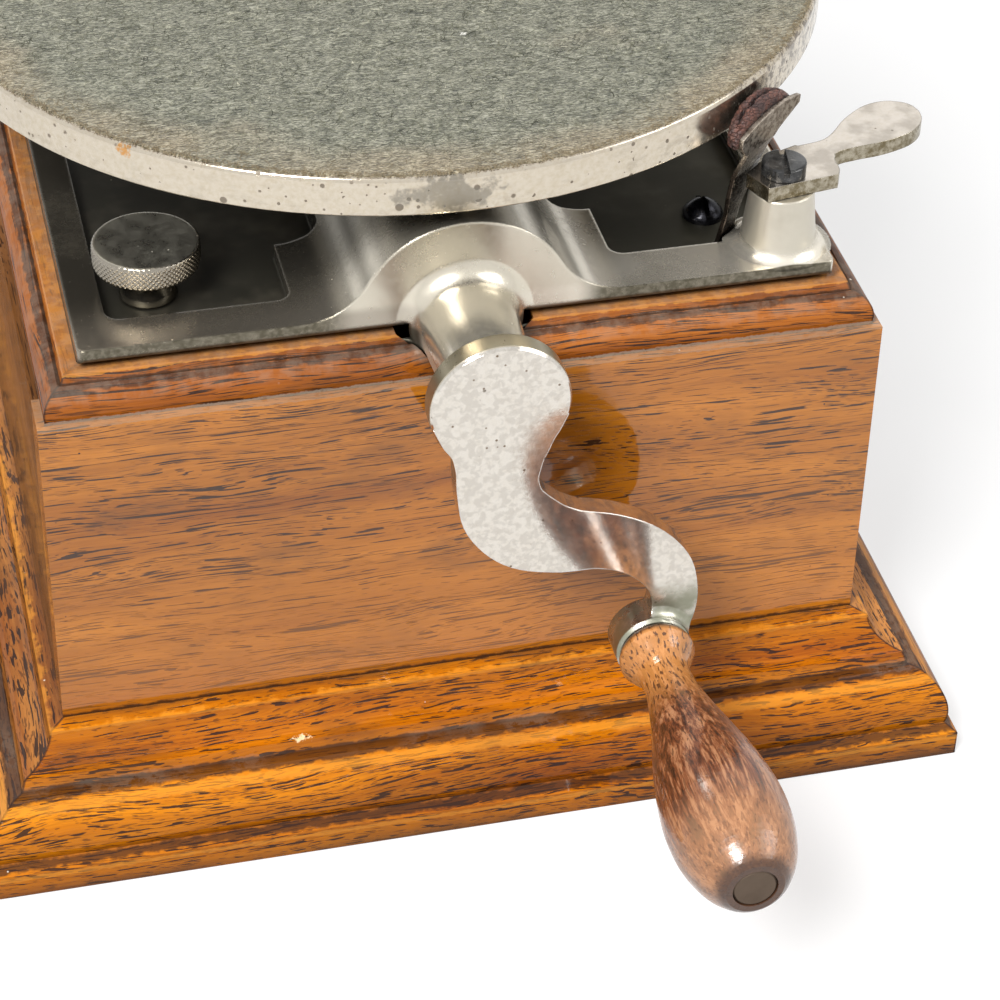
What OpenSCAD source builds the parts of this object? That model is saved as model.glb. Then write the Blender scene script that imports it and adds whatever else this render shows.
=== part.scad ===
// Table-top gramophone cabinet: mitred oak case, cast motor plate, spring
// motor with governor, felted turntable, winding crank and brake.
// Millimetres, +Z up. The origin is on the table, under the turntable's axis.
// The crank is at the front, towards -Y.

/* [Case] */
// Width of the case box, outside its panels
case_w = 160; // [150:1:200]
// Depth of the case box, outside its panels
case_d = 180; // [175:1:230]
// Height of the panels above the table
panel_h = 96.3; // [94:0.1:112]
// Thickness of the side, front and back panels
panel_t = 10; // [7:0.5:11]
// Thickness of the bottom board
bottom_t = 8; // [5:0.5:9]
// Side of the square glue blocks in the lower corners
block_w = 14; // [10:1:18]
// Height of the glue blocks
block_h = 26; // [18:1:34]

/* [Mouldings] */
// How far the base moulding stands out from the panels
base_out = 18.9; // [17:0.1:22]
// Height of the base moulding
base_h = 27.4; // [26:0.1:32]
// Height of the top moulding above the panels
top_h = 7.7; // [7:0.1:10]
// Width of the top moulding, from the panel's face inwards
top_in = 13.5; // [12.5:0.1:15]

/* [Motor plate] */
// Inset of the plate's side edges from the case's sides
plate_side_in = 8.65; // [8.2:0.05:9.5]
// Inset of the plate's front and back edges from the case's faces
plate_end_in = 5.8; // [5.6:0.1:7]
// Thickness of the plate's rim
plate_t = 4.5; // [4:0.1:6]
// Depth of the cast pockets
pocket_depth = 3; // [2:0.1:3.4]
// Thickness of the pocket floors
pocket_floor_t = 3.2; // [2.5:0.1:4]
// Height of the ridge's crown above the crank's axis
ridge_r = 20.7; // [19.5:0.1:25]
// Radius of the hollow skirts on both sides of the ridge
skirt_r = 14; // [12:0.5:15]
// Wall of the ridge over the crank shaft
ridge_wall = 4; // [3:0.1:5]

/* [Crank] */
// Height of the crank shaft's axis above the plate's underside
crank_up = 2; // [1.5:0.1:3]
// Radius of the crank shaft
crank_shaft_r = 5; // [4:0.1:5.5]
// Radius of the boss's neck
boss_r = 8.5; // [8:0.1:9.5]
// Radius of the crank's hub disc and of the boss's flared end
hub_r = 13; // [12.5:0.1:14]
// How far the crank's face stands in front of the case's front
crank_out = 23; // [22.5:0.5:30]
// Thickness of the crank's flat arm
arm_t = 4.4; // [3.6:0.1:5]
// Sideways offset of the handle's axis from the crank's axis
throw_x = 30.5; // [28:0.5:34]
// Drop of the handle's axis below the crank's axis
throw_z = 60; // [56:1:66]
// Length of the wooden handle
handle_l = 64.7; // [55:0.1:80]
// Radius of the handle where it is thickest
handle_r = 11.4; // [10:0.1:13]
// Radius of the pin that the handle turns on
handle_pin_r = 3; // [2.5:0.1:3.5]

/* [Turntable] */
// Radius of the turntable
table_r = 88.9; // [74:0.1:90]
// Height of the turntable's top above the plate
table_up = 31.5; // [31.5:0.1:36]
// Depth of the turntable's rim
rim_h = 8; // [7:0.1:9]
// Thickness of the felt
felt_t = 2; // [1.4:0.1:2.4]
// Radius of the spindle in its bush and in the wheels
spindle_r = 4; // [3.4:0.1:4.4]
// Radius of the pin that centres the record
record_pin_r = 3.6; // [3:0.1:3.8]
// Height of the record pin above the felt
record_pin_h = 11; // [8:0.5:14]

/* [Motor] */
// Radius of the spring barrel
barrel_r = 28; // [23:0.1:28]
// Length of the spring barrel
barrel_l = 21; // [17:0.5:21]
// Radius of the barrel's arbor
arbor_r = 4; // [3:0.1:4.5]
// Turns of the mainspring
spring_turns = 11; // [6:1:12]
// Thickness of the mainspring's strip
spring_t = 0.6; // [0.4:0.1:0.8]
// Radius of the intermediate arbor
inter_r = 2.5; // [2:0.1:3]
// Radius of the governor's shaft
gov_shaft_r = 1.75; // [1.5:0.05:2]
// Radius of each governor weight
weight_r = 4; // [3:0.1:4.5]
// Radius at which the governor weights turn
weight_orbit = 10.5; // [9.5:0.1:11]

/* [Brake and speed control] */
// How far the brake post's axis lies outside the turntable's rim
post_out = 9.1; // [8.8:0.1:9.6]
// Angle of the brake post round the turntable, from the right towards the front
post_angle = 50.2; // [48:0.1:52]
// Height of the brake post above the plate
post_h = 12.4; // [11.5:0.1:14]
// Radius of the brake post at its top
post_r = 6.1; // [5.4:0.1:6.4]
// Thickness of the brake lever
lever_t = 3; // [2.4:0.1:3.2]
// Gap between the leather pad and the turntable's rim
pad_gap = 2.3; // [2.2:0.1:3]
// Distance of the speed knob to the left of the turntable's axis
knob_left = 55.6; // [54:0.1:57]
// Distance of the speed knob in front of the turntable's axis
knob_fore = 63.8; // [62:0.1:66]
// Radius of the speed knob
knob_r = 10.1; // [9:0.1:10.5]
// Height of the speed knob's knurled edge
knob_h = 4.9; // [4:0.1:6]
// Radius of the speed knob's stem
knob_stem_r = 4.9; // [4:0.1:5.2]

/* [Fits] */
// Radial clearance of shafts in their bearings
run_fit = 0.05; // [0.03:0.01:0.08]
// Gap between faces that slide past each other
slide_gap = 0.3; // [0.2:0.05:0.5]
// Radial difference drawn between a hub and the shaft it is pressed on
press = 0.02; // [0.01:0.01:0.04]

/* [Hidden] */
$fn = 64;

// colours
oak = [0.69, 0.44, 0.25];
oak_dark = [0.62, 0.37, 0.17];
nickel = [0.72, 0.71, 0.68];
iron = [0.35, 0.35, 0.36];
brass = [0.78, 0.62, 0.32];
steel = [0.55, 0.56, 0.58];
blued = [0.08, 0.08, 0.1];
leather_c = [0.4, 0.22, 0.16];
felt_c = [0.45, 0.5, 0.43];
handle_c = [0.4, 0.22, 0.12];

// the case's half sizes and its main levels
hx = case_w / 2;
hy = case_d / 2;
plate_z = panel_h + top_h;
plate_top = plate_z + plate_t;
floor_z = plate_top - pocket_depth;
pan_z = floor_z - pocket_floor_t;
plate_hx = hx - plate_side_in;
plate_hy = hy - plate_end_in;
crank_z = plate_z + crank_up;
crank_face_y = -hy - crank_out;
arm_back_y = crank_face_y + arm_t;
table_top = plate_top + table_up;
rim_z = table_top - rim_h;

// the crank's boss: its root, the hollow flare there and the small flare behind the crank
boss_root_r = boss_r + 0.7;
boss_cove = 4.6;
boss_lip = 1.3;
boss_y0 = -plate_hy;
boss_y1 = arm_back_y + slide_gap;

// the motor's axes: crank, barrel and intermediate arbors lie along Y under each other
wind_m = 1.5;
wind_teeth = [12, 36];
barrel_z = crank_z - wind_m * (wind_teeth[0] + wind_teeth[1]) / 2;
train_m = 1;
great_teeth = 60;
inter_teeth = 12;
contrate_teeth = 36;
spindle_teeth = 12;
inter_z = barrel_z - train_m * (great_teeth + inter_teeth) / 2;
contrate_r = train_m * contrate_teeth / 2;
spindle_pinion_r = train_m * spindle_teeth / 2;

// stations along Y, from the front frame plate to the spindle
frame_t = 5;
front_plate_y = -76;
wind_y = -63.5;
wind_w = 4;
ratchet_y = front_plate_y + frame_t + 3;
ratchet_w = 2.5;
barrel_y = -54;
barrel_end = barrel_y + barrel_l;
great_w = 3;
rear_plate_y = -27;
shaft_end_y = -28;

// governor: a shaft along X behind the spindle, driven through a three-start worm
gov_teeth = 36;
worm_starts = 3;
worm_r = 4.5;
worm_tip = 0.8 * train_m;
worm_root = 1.3 * train_m;
worm_l = 13;
worm_lead = worm_starts * PI * train_m;
gov_y = train_m * gov_teeth / 2 + worm_r;
gov_z = plate_z - 24;
gov_wheel_w = 5;
gov_left = -60;
gov_right = 13;
bearing_w = 4;
collar_x = -22;
disc_x = -43;
collar_r = 5;
collar_w = 3.5;

// brake: the post, and the polar place of the sprung pad beside the rim
brake_a = -post_angle;
post_dist = table_r + post_out;
post_x = post_dist * cos(brake_a);
post_y = post_dist * sin(brake_a);
post_top = plate_top + post_h;
cam_nose = 6.9;
strip_t = 0.9;
strip_face = post_dist - 6;
foot_r = table_r - 1.4;
pad_t = 2.4;
pad_z = rim_z + rim_h / 2 - 0.4;
knob_x = -knob_left;
knob_y = -knob_fore;
frame_screw_r = 2;
plate_screw_r = 1.5;
plate_screw_head = 2.6;
case_screw_r = 1.6;
brake_screw_r = 1.8;
click_screw_r = 1.5;
knob_spindle_r = 2.5;
pivot_r = 2;
bush_r = 7;
bush_lip = 1.6;
screw_pos = [[post_x - 9.7, post_y + 16.3], [53, 42], [-53, 42]];

// ---- shared forms ----

// points of a circular arc from p to q that bulges by s to the left of the way
function arc(p, q, s, n = 10) =
    let (c = norm(q - p), r = (c * c / 4 + s * s) / (2 * abs(s)), m = (p + q) / 2)
    let (u = (q - p) / c, v = [-u[1], u[0]] * sign(s), o = m - v * (r - abs(s)))
    let (a = atan2((p - o)[1], (p - o)[0]), b = atan2((q - o)[1], (q - o)[0]))
    let (d = ((b - a) % 360 + 540) % 360 - 180)
    [for (i = [0 : n]) o + r * [cos(a + d * i / n), sin(a + d * i / n)]];

// one point of a smooth curve through the rows of t, at place i + f
function smooth(t, i, f) =
    let (k = len(t) - 1, a = t[max(i - 1, 0)], b = t[i], c = t[min(i + 1, k)], d = t[min(i + 2, k)])
    0.5 * (2 * b + (c - a) * f + (2 * a - 5 * b + 4 * c - d) * f * f + (3 * b - a - 3 * c + d) * f * f * f);

function smooth_row(t, n = 6) =
    concat([for (i = [0 : len(t) - 2]) for (j = [0 : n - 1]) smooth(t, i, j / n)], [t[len(t) - 1]]);

// outline of a band along rows of [x, y, half width]
function band(rows) =
    let (k = len(rows) - 1)
    let (way = [for (i = [0 : k]) rows[min(i + 1, k)] - rows[max(i - 1, 0)]])
    let (side = [for (w = way) [-w[1], w[0]] / norm([w[0], w[1]])])
    concat([for (i = [0 : k]) [rows[i][0], rows[i][1]] + side[i] * rows[i][2]],
        [for (i = [k : -1 : 0]) [rows[i][0], rows[i][1]] - side[i] * rows[i][2]]);

// one tooth and the gap after it; t0, t1 and t2 are half thicknesses in degrees
function tooth(a, ro, rp, ri, t) =
    [for (e = [[-t[0], ri], [-t[1], rp], [-t[2], ro], [t[2], ro], [t[1], rp], [t[0], ri]])
        e[1] * [cos(a + e[0]), sin(a + e[0])]];

module gear2d(teeth, m, turn = 0) {
    step = 360 / teeth;
    rp = m * teeth / 2;
    ro = rp + 0.85 * m;
    ri = rp - 1.15 * m;
    polygon([for (i = [0 : teeth - 1])
        each tooth(turn + i * step, ro, rp, ri, [0.31 * step, 0.21 * step, 0.09 * step])]);
}

// places a drawing of the XZ plane at y, extruded towards +Y by w
module slab_y(y, w) {
    translate([0, y + w, 0]) rotate([90, 0, 0]) linear_extrude(w) children();
}

// cylinder along +Y and along +X
module rod_y(r, y, l, x = 0, z = 0) {
    translate([x, y, z]) rotate([-90, 0, 0]) cylinder(r = r, h = l);
}
module rod_x(r, x, l, y = 0, z = 0) {
    translate([x, y, z]) rotate([0, 90, 0]) cylinder(r = r, h = l);
}

// revolves a profile of [radius, place along Y] about an axis along Y
module turned_y(x, z) {
    translate([x, 0, z]) rotate([-90, 0, 0]) rotate_extrude() children();
}

// slotted screw standing along +Z: head radius, head height, shank radius and length
module screw(hr, hh, sr, sl, slot = 1) {
    difference() {
        union() {
            cylinder(r = hr, h = hh);
            translate([0, 0, -sl]) cylinder(r = sr, h = sl);
        }
        translate([-hr - 1, -slot / 2, hh * 0.45]) cube([2 * hr + 2, slot, hh]);
    }
}

// ---- case ----

// base moulding: plinth, large ovolo, quirk, cove and a narrow ledge
base_profile = concat([[0, 0], [base_out, 0], [base_out, base_h - 21.9]],
    arc([base_out - 2.2, base_h - 20.4], [base_out - 7.1, base_h - 9.1], -2.2, 14),
    [[base_out - 9.1, base_h - 9.0], [base_out - 9.9, base_h - 6.6]],
    arc([base_out - 9.9, base_h - 6.6], [base_out - 15.9, base_h - 0.7], 1.75, 10),
    [[0, base_h]]);

// top moulding: a quirk, a bold bead, a fillet and the ledge under the motor plate
top_profile = concat([[1.5, 0], [1.5, 1.0]],
    arc([1.5, 1.0], [4.6, top_h - 1.6], 1.15, 12),
    [[5.1, top_h - 1.9], [5.5, top_h - 0.9], [5.9, top_h], [top_in, top_h], [top_in, 0]]);

// mitre wedge over one side, hw by hd being the case's half sizes across and along it
module mitre(hw, hd, out, inner, z0, h) {
    translate([0, 0, z0 - 1]) linear_extrude(h + 2)
        polygon([[-hw - out, -hd - out], [hw + out, -hd - out], [hw - inner, -hd + inner],
            [-hw + inner, -hd + inner]]);
}

// a length of base moulding on the side that faces -Y, before it is turned into place
module base_run(hw, hd) {
    intersection() {
        translate([-hw - base_out, -hd, 0]) rotate([90, 0, 90]) linear_extrude(2 * (hw + base_out))
            mirror([1, 0]) polygon(base_profile);
        mitre(hw, hd, base_out, 0, 0, base_h);
    }
}

module top_run(hw, hd) {
    intersection() {
        translate([-hw, -hd, panel_h]) rotate([90, 0, 90]) linear_extrude(2 * hw)
            polygon(top_profile);
        mitre(hw, hd, 0, top_in, panel_h, top_h);
    }
}

module base_moulding_front() {
    color(oak_dark) base_run(hx, hy);
}
module base_moulding_back() {
    color(oak_dark) rotate(180) base_run(hx, hy);
}
module base_moulding_left() {
    color(oak_dark) rotate(-90) base_run(hy, hx);
}
module base_moulding_right() {
    color(oak_dark) rotate(90) base_run(hy, hx);
}

// the front moulding stops on both sides of the crank's boss, and follows its flare
notch_r = boss_root_r + 0.4;
notch_y = boss_y0 - 0.3;
module notch2d() {
    back_r = notch_r + boss_cove + 0.3;
    translate([-notch_r, -hy - 1]) square([2 * notch_r, top_in + 2]);
    translate([-back_r, notch_y]) square([2 * back_r, top_in]);
    for (s = [0, 1])
        mirror([s, 0]) cove2d(notch_r, notch_y + 0.1, boss_cove, -1);
}
module top_moulding_front() {
    color(oak_dark) difference() {
        top_run(hx, hy);
        translate([0, 0, panel_h - 1]) linear_extrude(top_h + 2) notch2d();
    }
}
module top_moulding_back() {
    color(oak_dark) rotate(180) top_run(hx, hy);
}
module top_moulding_left() {
    color(oak_dark) difference() {
        rotate(-90) top_run(hy, hx);
        plate_screw_places() cylinder(r = plate_screw_r + run_fit, h = 40, center = true);
    }
}
module top_moulding_right() {
    color(oak_dark) difference() {
        rotate(90) top_run(hy, hx);
        plate_screw_places() cylinder(r = plate_screw_r + run_fit, h = 40, center = true);
    }
}

module front_panel() {
    color(oak) translate([-hx, -hy, 0]) cube([case_w, panel_t, panel_h]);
}
module back_panel() {
    color(oak) translate([-hx, hy - panel_t, 0]) cube([case_w, panel_t, panel_h]);
}
module left_panel() {
    color(oak) translate([-hx, -hy + panel_t, 0]) cube([panel_t, case_d - 2 * panel_t, panel_h]);
}
module right_panel() {
    color(oak) translate([hx - panel_t, -hy + panel_t, 0]) cube([panel_t, case_d - 2 * panel_t, panel_h]);
}

// puts its children at the four inner corners, turned towards the middle
module at_corners(inset) {
    for (sx = [-1, 1])
        for (sy = [-1, 1])
            translate([sx * (hx - panel_t - inset), sy * (hy - panel_t - inset), 0]) children();
}

module bottom_board() {
    color(oak) difference() {
        translate([-hx + panel_t, -hy + panel_t, 0])
            cube([case_w - 2 * panel_t, case_d - 2 * panel_t, bottom_t]);
        at_corners(block_w / 2) {
            cylinder(r = case_screw_r + run_fit, h = 3 * bottom_t, center = true);
            translate([0, 0, -0.01]) cylinder(r1 = 3.3 + run_fit, r2 = case_screw_r + run_fit, h = 2);
        }
    }
}

module corner_blocks() {
    color(oak_dark) difference() {
        at_corners(block_w / 2) translate([-block_w / 2, -block_w / 2, bottom_t])
            cube([block_w, block_w, block_h]);
        at_corners(block_w / 2) cylinder(r = case_screw_r + run_fit, h = bottom_t + 12);
    }
}

module bottom_screws() {
    color(steel) at_corners(block_w / 2) difference() {
        union() {
            cylinder(r1 = 3.2, r2 = case_screw_r, h = 1.9);
            cylinder(r = case_screw_r, h = bottom_t + 11);
        }
        translate([-4, -0.4, -1]) cube([8, 0.8, 1.7]);
    }
}

// ---- motor plate ----

// outline of a pocket on the side s: a wide bay, and a shoulder that runs in beside the ridge
ridge_drop = plate_top - crank_z;
ridge_foot = sqrt(pow(ridge_r + skirt_r, 2) - pow(ridge_drop + skirt_r, 2));
module pocket2d(s, front_y) {
    outer = plate_hx - 6.4;
    bay = ridge_foot + 0.2;
    shoulder = ridge_foot - 8.5;
    offset(r = 3) offset(delta = -3) union() {
        translate([s > 0 ? bay : -outer, front_y]) square([outer - bay, plate_hy - 12 - front_y]);
        translate([s > 0 ? shoulder : -outer + 1, -57]) square([outer - shoulder - 1, plate_hy - 30 + 57]);
    }
}

// section of the ridge: a crown round the crank's axis, with hollow skirts down to the plate
module ridge2d(r, foot) {
    cx = ridge_foot;
    cy = ridge_drop + skirt_r;
    touch = r / norm([cx, cy]) * [cx, cy];
    intersection() {
        circle(r = r);
        translate([-r - 1, foot]) square([2 * r + 2, r - foot + 1]);
    }
    for (s = [-1, 1])
        difference() {
            polygon([[0, foot], [s * cx, foot], [s * cx, ridge_drop], [s * touch[0], touch[1]], [0, 0]]);
            translate([s * cx, cy]) circle(r = skirt_r);
        }
}

// hollow quarter round of radius r that fills the corner at [x, y], towards +X and towards s along Y
module cove2d(x, y, r, s = 1) {
    translate([x, s > 0 ? y : y - r]) difference() {
        square(r);
        translate([r, s > 0 ? r : 0]) circle(r = r);
    }
}

// the boss that carries the crank shaft: a hollow flare out of the plate's front face, a tapered
// neck and a small flare behind the crank
module boss() {
    turned_y(0, crank_z) union() {
        polygon([[0, boss_y0 + 6], [boss_root_r, boss_y0 + 6], [boss_root_r, boss_y0 - boss_cove],
            [boss_r, boss_y1 + boss_lip], [boss_r + boss_lip, boss_y1 + 0.3], [boss_r + boss_lip, boss_y1],
            [0, boss_y1]]);
        cove2d(boss_root_r, boss_y0 + 0.1, boss_cove, -1);
    }
}

// tapered post with a hollow flare at its foot, let a little into the plate
post_foot_r = post_r + 0.9;
post_cove = 3.2;
post_sunk = 0.1;
module brake_post() {
    translate([post_x, post_y, plate_top - post_sunk]) rotate_extrude() {
        polygon([[0, 0], [post_foot_r, 0], [post_foot_r, post_cove], [post_r, post_h + post_sunk],
            [0, post_h + post_sunk]]);
        cove2d(post_foot_r, 0, post_cove);
    }
}

module plate_screw_places() {
    for (sx = [-1, 1])
        for (y = [6, 74])
            translate([sx * (plate_hx - 2.7), y, plate_top]) children();
}

module motor_plate() {
    color(nickel) difference() {
        union() {
            difference() {
                union() {
                    // rim that lies on the top moulding, with its lower front edge rounded
                    translate([0, 0, plate_z]) linear_extrude(plate_t)
                        offset(r = 1.5) square([2 * plate_hx - 3, 2 * plate_hy - 3], center = true);
                    // pan that hangs inside the moulding
                    translate([-hx + top_in + 0.6, -hy + top_in + 0.6, pan_z])
                        cube([case_w - 2 * top_in - 1.2, case_d - 2 * top_in - 1.2, plate_z - pan_z]);
                    translate([0, 0, crank_z]) slab_y(-plate_hy, plate_hy + 22)
                        ridge2d(ridge_r, plate_z - crank_z);
                    boss();
                }
                front_edge_round();
                translate([0, 0, floor_z]) linear_extrude(60) pocket2d(-1, -plate_hy + 8.9);
                translate([0, 0, floor_z]) linear_extrude(60) difference() {
                    pocket2d(1, -plate_hy + 11);
                    translate([post_x, post_y]) circle(r = post_foot_r + post_cove + 0.2);
                }
                // vault over the crank shaft and the winding pinion, then over the spindle's boss
                vault(-plate_hy + 5, shaft_end_y - 7);
                vault(shaft_end_y, 18);
            }
            brake_post();
            // boss that holds the spindle's bush
            translate([0, 0, pan_z]) cylinder(r = bush_r + 3, h = crank_z + ridge_r - 1 - pan_z);
        }
        // crank shaft, through the front boss and the web behind the winding pinion
        rod_y(crank_shaft_r + run_fit, crank_face_y, -crank_face_y + shaft_end_y + 1, 0, crank_z);
        translate([0, 0, pan_z - 1]) cylinder(r = bush_r, h = 60);
        translate([knob_x, knob_y, pan_z - 1]) cylinder(r = knob_spindle_r + run_fit, h = 20);
        translate([post_x, post_y, plate_top + 2]) cylinder(r = brake_screw_r + run_fit, h = post_h);
        for (p = screw_pos)
            translate([p[0], p[1], pan_z - 1]) cylinder(r = frame_screw_r + run_fit, h = 20);
        // the boss clears the top of the front panel
        translate([-25, -hy - 0.4, panel_h - 10]) cube([50, panel_t + 1, 10.3]);
        // slot for the foot of the brake spring
        rotate(brake_a) translate([foot_r - 1.2, strip_side - 2.8, pan_z - 1]) cube([2.8, 5.6, 20]);
        plate_screw_places() {
            cylinder(r = plate_screw_r + run_fit, h = 40, center = true);
            translate([0, 0, -1.8]) cylinder(r = plate_screw_head + run_fit, h = 5);
        }
    }
}

// cutters along the plate's front edge, on both sides of the boss: the lower edge is rounded and
// stands off the moulding
edge_r = 1.6;
edge_gap = 1.3;
edge_depth = 3.4;
module front_edge_round() {
    run = plate_hx - boss_root_r + 1;
    for (x = [-plate_hx - 1, boss_root_r])
        translate([x, -plate_hy, plate_z]) rotate([90, 0, 90]) linear_extrude(run) union() {
            translate([-1, -1]) square([edge_depth + 1, edge_gap + 1]);
            difference() {
                translate([-1, 0]) square([edge_r + 1, edge_gap + edge_r]);
                translate([edge_r, edge_gap + edge_r]) circle(r = edge_r);
            }
        }
}

module vault(y0, y1) {
    r = ridge_r - ridge_wall;
    slab_y(y0, y1 - y0) {
        translate([0, crank_z]) circle(r = r);
        translate([-r, pan_z - 1]) square([2 * r, crank_z - pan_z + 1]);
    }
}

module plate_screws() {
    color(steel) plate_screw_places() translate([0, 0, -1.7]) screw(plate_screw_head, 1.7, plate_screw_r, plate_t + 2.5, 0.7);
}

// round-headed screws that hold the motor's frame under the plate
module frame_screws() {
    color(blued) for (p = screw_pos)
        translate([p[0], p[1], floor_z]) difference() {
            union() {
                intersection() {
                    translate([0, 0, -0.6]) sphere(r = 3.6);
                    cylinder(r = 4, h = 4);
                }
                translate([0, 0, -9]) cylinder(r = frame_screw_r, h = 9);
            }
            rotate(60) translate([-5, -0.5, 1.5]) cube([10, 1, 4]);
        }
}

module spindle_bush() {
    color(brass) difference() {
        union() {
            translate([0, 0, pan_z]) cylinder(r = bush_r - press, h = crank_z + ridge_r + 0.3 - pan_z);
            translate([0, 0, crank_z + ridge_r]) cylinder(r = bush_r + 2, h = bush_lip);
        }
        translate([0, 0, pan_z - 1]) cylinder(r = spindle_r + run_fit, h = 60);
    }
}

// ---- motor frame ----

pillar_x = 33;
pillar_z = inter_z + 11;
pillar_r = 3.5;
foot_t = 4;

// outline of a frame plate: shoulders under the motor plate, narrowing to the lower arbor
module frame2d() {
    difference() {
        union() {
            hull() {
                translate([0, inter_z]) circle(r = 9);
                translate([-pillar_x, pillar_z]) circle(r = 6);
                translate([pillar_x, pillar_z]) circle(r = 6);
            }
            translate([-pillar_x - 6, pillar_z]) square([2 * pillar_x + 12, pan_z - pillar_z]);
        }
        translate([0, crank_z - 1]) circle(r = 19);
        for (s = [-1, 1])
            translate([s * 27, barrel_z + 5]) circle(r = 7);
    }
}

module frame_bores(y) {
    rod_y(arbor_r + run_fit, y - 1, frame_t + 2, 0, barrel_z);
    rod_y(inter_r + run_fit, y - 1, frame_t + 2, 0, inter_z);
    for (s = [-1, 1])
        rod_y(2 + run_fit, y - 1, frame_t + 2, s * pillar_x, pillar_z);
    for (s = [-1, 1])
        rod_y(2 + run_fit, y - 1, frame_t + 2, s * pillar_x, pan_z - 10);
}

module frame_plate_front() {
    color(iron) difference() {
        union() {
            slab_y(front_plate_y, frame_t) frame2d();
            // foot that the visible screw holds
            translate([24, front_plate_y, pan_z - foot_t])
                cube([screw_pos[0][0] + 6 - 24, screw_pos[0][1] + 7 - front_plate_y, foot_t]);
        }
        frame_bores(front_plate_y);
        rod_y(click_screw_r + run_fit, front_plate_y - 1, frame_t + 2, click_x, click_z);
        translate([screw_pos[0][0], screw_pos[0][1], pan_z - 10]) cylinder(r = frame_screw_r + run_fit, h = 20);
    }
}

module frame_plate_rear() {
    color(iron) difference() {
        union() {
            slab_y(rear_plate_y, frame_t) frame2d();
            for (s = [-1, 1])
                translate([s > 0 ? 33 : -61, rear_plate_y, pan_z - foot_t]) cube([28, 75, foot_t]);
        }
        frame_bores(rear_plate_y);
        for (i = [1, 2])
            translate([screw_pos[i][0], screw_pos[i][1], pan_z - 10]) cylinder(r = frame_screw_r + run_fit, h = 20);
        translate([knob_x, lever_pivot_y, pan_z - 10]) cylinder(r = 2 * pivot_r + run_fit, h = 20);
    }
}

module frame_pillars() {
    color(steel) for (s = [-1, 1])
        for (z = [pillar_z, pan_z - 10])
            translate([s * pillar_x, 0, z]) {
                rod_y(pillar_r, front_plate_y + frame_t, rear_plate_y - front_plate_y - frame_t);
                rod_y(2, front_plate_y, rear_plate_y - front_plate_y + frame_t);
            }
}

// bracket that hangs behind the spindle and carries its lower end
step_z = inter_z - 15.5;
step_h = 7;
module footstep_bracket() {
    color(iron) difference() {
        union() {
            translate([-9, 42, step_z]) cube([18, 6, pan_z - step_z]);
            translate([-5, 0, step_z]) cube([10, 45, step_h]);
            translate([0, 0, step_z]) cylinder(r = 7, h = step_h);
            translate([-9, 30, pan_z - foot_t]) cube([18, 18, foot_t]);
        }
        translate([0, 0, step_z + 2]) cylinder(r = spindle_r + run_fit, h = 20);
    }
}

// hanging bearing of the governor's shaft
module gov_bearing(x, z_top) {
    difference() {
        union() {
            translate([x, gov_y - 6, gov_z]) cube([bearing_w, 12, z_top - gov_z]);
            rod_x(6, x, bearing_w, gov_y, gov_z);
        }
        rod_x(gov_shaft_r + run_fit, x - 1, bearing_w + 2, gov_y, gov_z);
    }
}
module governor_bearing_left() {
    color(brass) gov_bearing(gov_left, pan_z - foot_t);
}
module governor_bearing_right() {
    color(brass) gov_bearing(gov_right, pan_z);
}

// ---- crank ----

// middle line of the arm with its half width, from the hub's disc round the S to the handle
arm_rows = [[0, -3, 12.4], [0, -6.5, 10.9], [0, -9.5, 9.3], [-0.2, -13, 8.1], [-0.3, -18, 7.6],
    [1.3, -24, 8.1], [6, -29.3, 8.3], [12.5, -32.3, 7.4], [20.5, -33.8, 6.4], [27.3, -37, 5.8],
    [32.4, -42.3, 5.2], [34.6, -48.5, 4.5], [34.2, -54, 4.5], [31.5, -58.5, 5.2]];
end_r = 7.3;
end_out = 2.3;
end_cove = 2;
hub_bevel = 0.5;

module crank_arm() {
    color(nickel) difference() {
        translate([0, 0, crank_z]) {
            slab_y(crank_face_y, arm_t) {
                polygon(band(smooth_row(arm_rows)));
                translate([throw_x, -throw_z]) circle(r = end_r);
            }
            // hub disc with its front edge bevelled
            turned_y(0, 0) polygon([[0, arm_back_y], [hub_r, arm_back_y], [hub_r, crank_face_y + 1.4 * hub_bevel],
                [hub_r - hub_bevel, crank_face_y], [0, crank_face_y]]);
            // the end of the arm stands forward as the seat of the handle, with a hollow in front of it
            turned_y(throw_x, -throw_z) polygon([[0, arm_back_y], [end_r, arm_back_y],
                [end_r, crank_face_y - end_out + 0.6], [end_r - 0.6, crank_face_y - end_out],
                [0, crank_face_y - end_out]]);
            intersection() {
                turned_y(throw_x, -throw_z) cove2d(end_r - 0.05, crank_face_y + 0.05, end_cove, -1);
                slab_y(crank_face_y - end_cove, 2 * end_cove) polygon(band(smooth_row(arm_rows)));
            }
        }
        rod_y(crank_shaft_r + press, crank_face_y + 1.6, arm_t, 0, crank_z);
        rod_y(handle_pin_r + press, crank_face_y - end_out - 1, end_out + arm_t + 2, throw_x, crank_z - throw_z);
    }
}

module crank_shaft() {
    color(steel) rod_y(crank_shaft_r, crank_face_y + 1.6, shaft_end_y + 2 - crank_face_y - 1.6, 0, crank_z);
}

module winding_pinion() {
    color(steel) difference() {
        slab_y(wind_y - 1, wind_w + 2) translate([0, crank_z]) gear2d(wind_teeth[0], wind_m, 15);
        rod_y(crank_shaft_r + press, wind_y - 2, wind_w + 4, 0, crank_z);
    }
}

// the handle's pin is riveted in the arm and ends in a round head let into the handle's end
seat_y = crank_face_y - end_out;
handle_y = seat_y - slide_gap;
module handle_pin() {
    tip = handle_y - handle_l;
    color(steel) turned_y(throw_x, crank_z - throw_z) polygon([[0, arm_back_y], [handle_pin_r, arm_back_y],
        [handle_pin_r, tip + 3], [4.1, tip + 3], [4.1, tip + 0.4], [3.7, tip + 0.1], [0, tip + 0.1]]);
}

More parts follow.
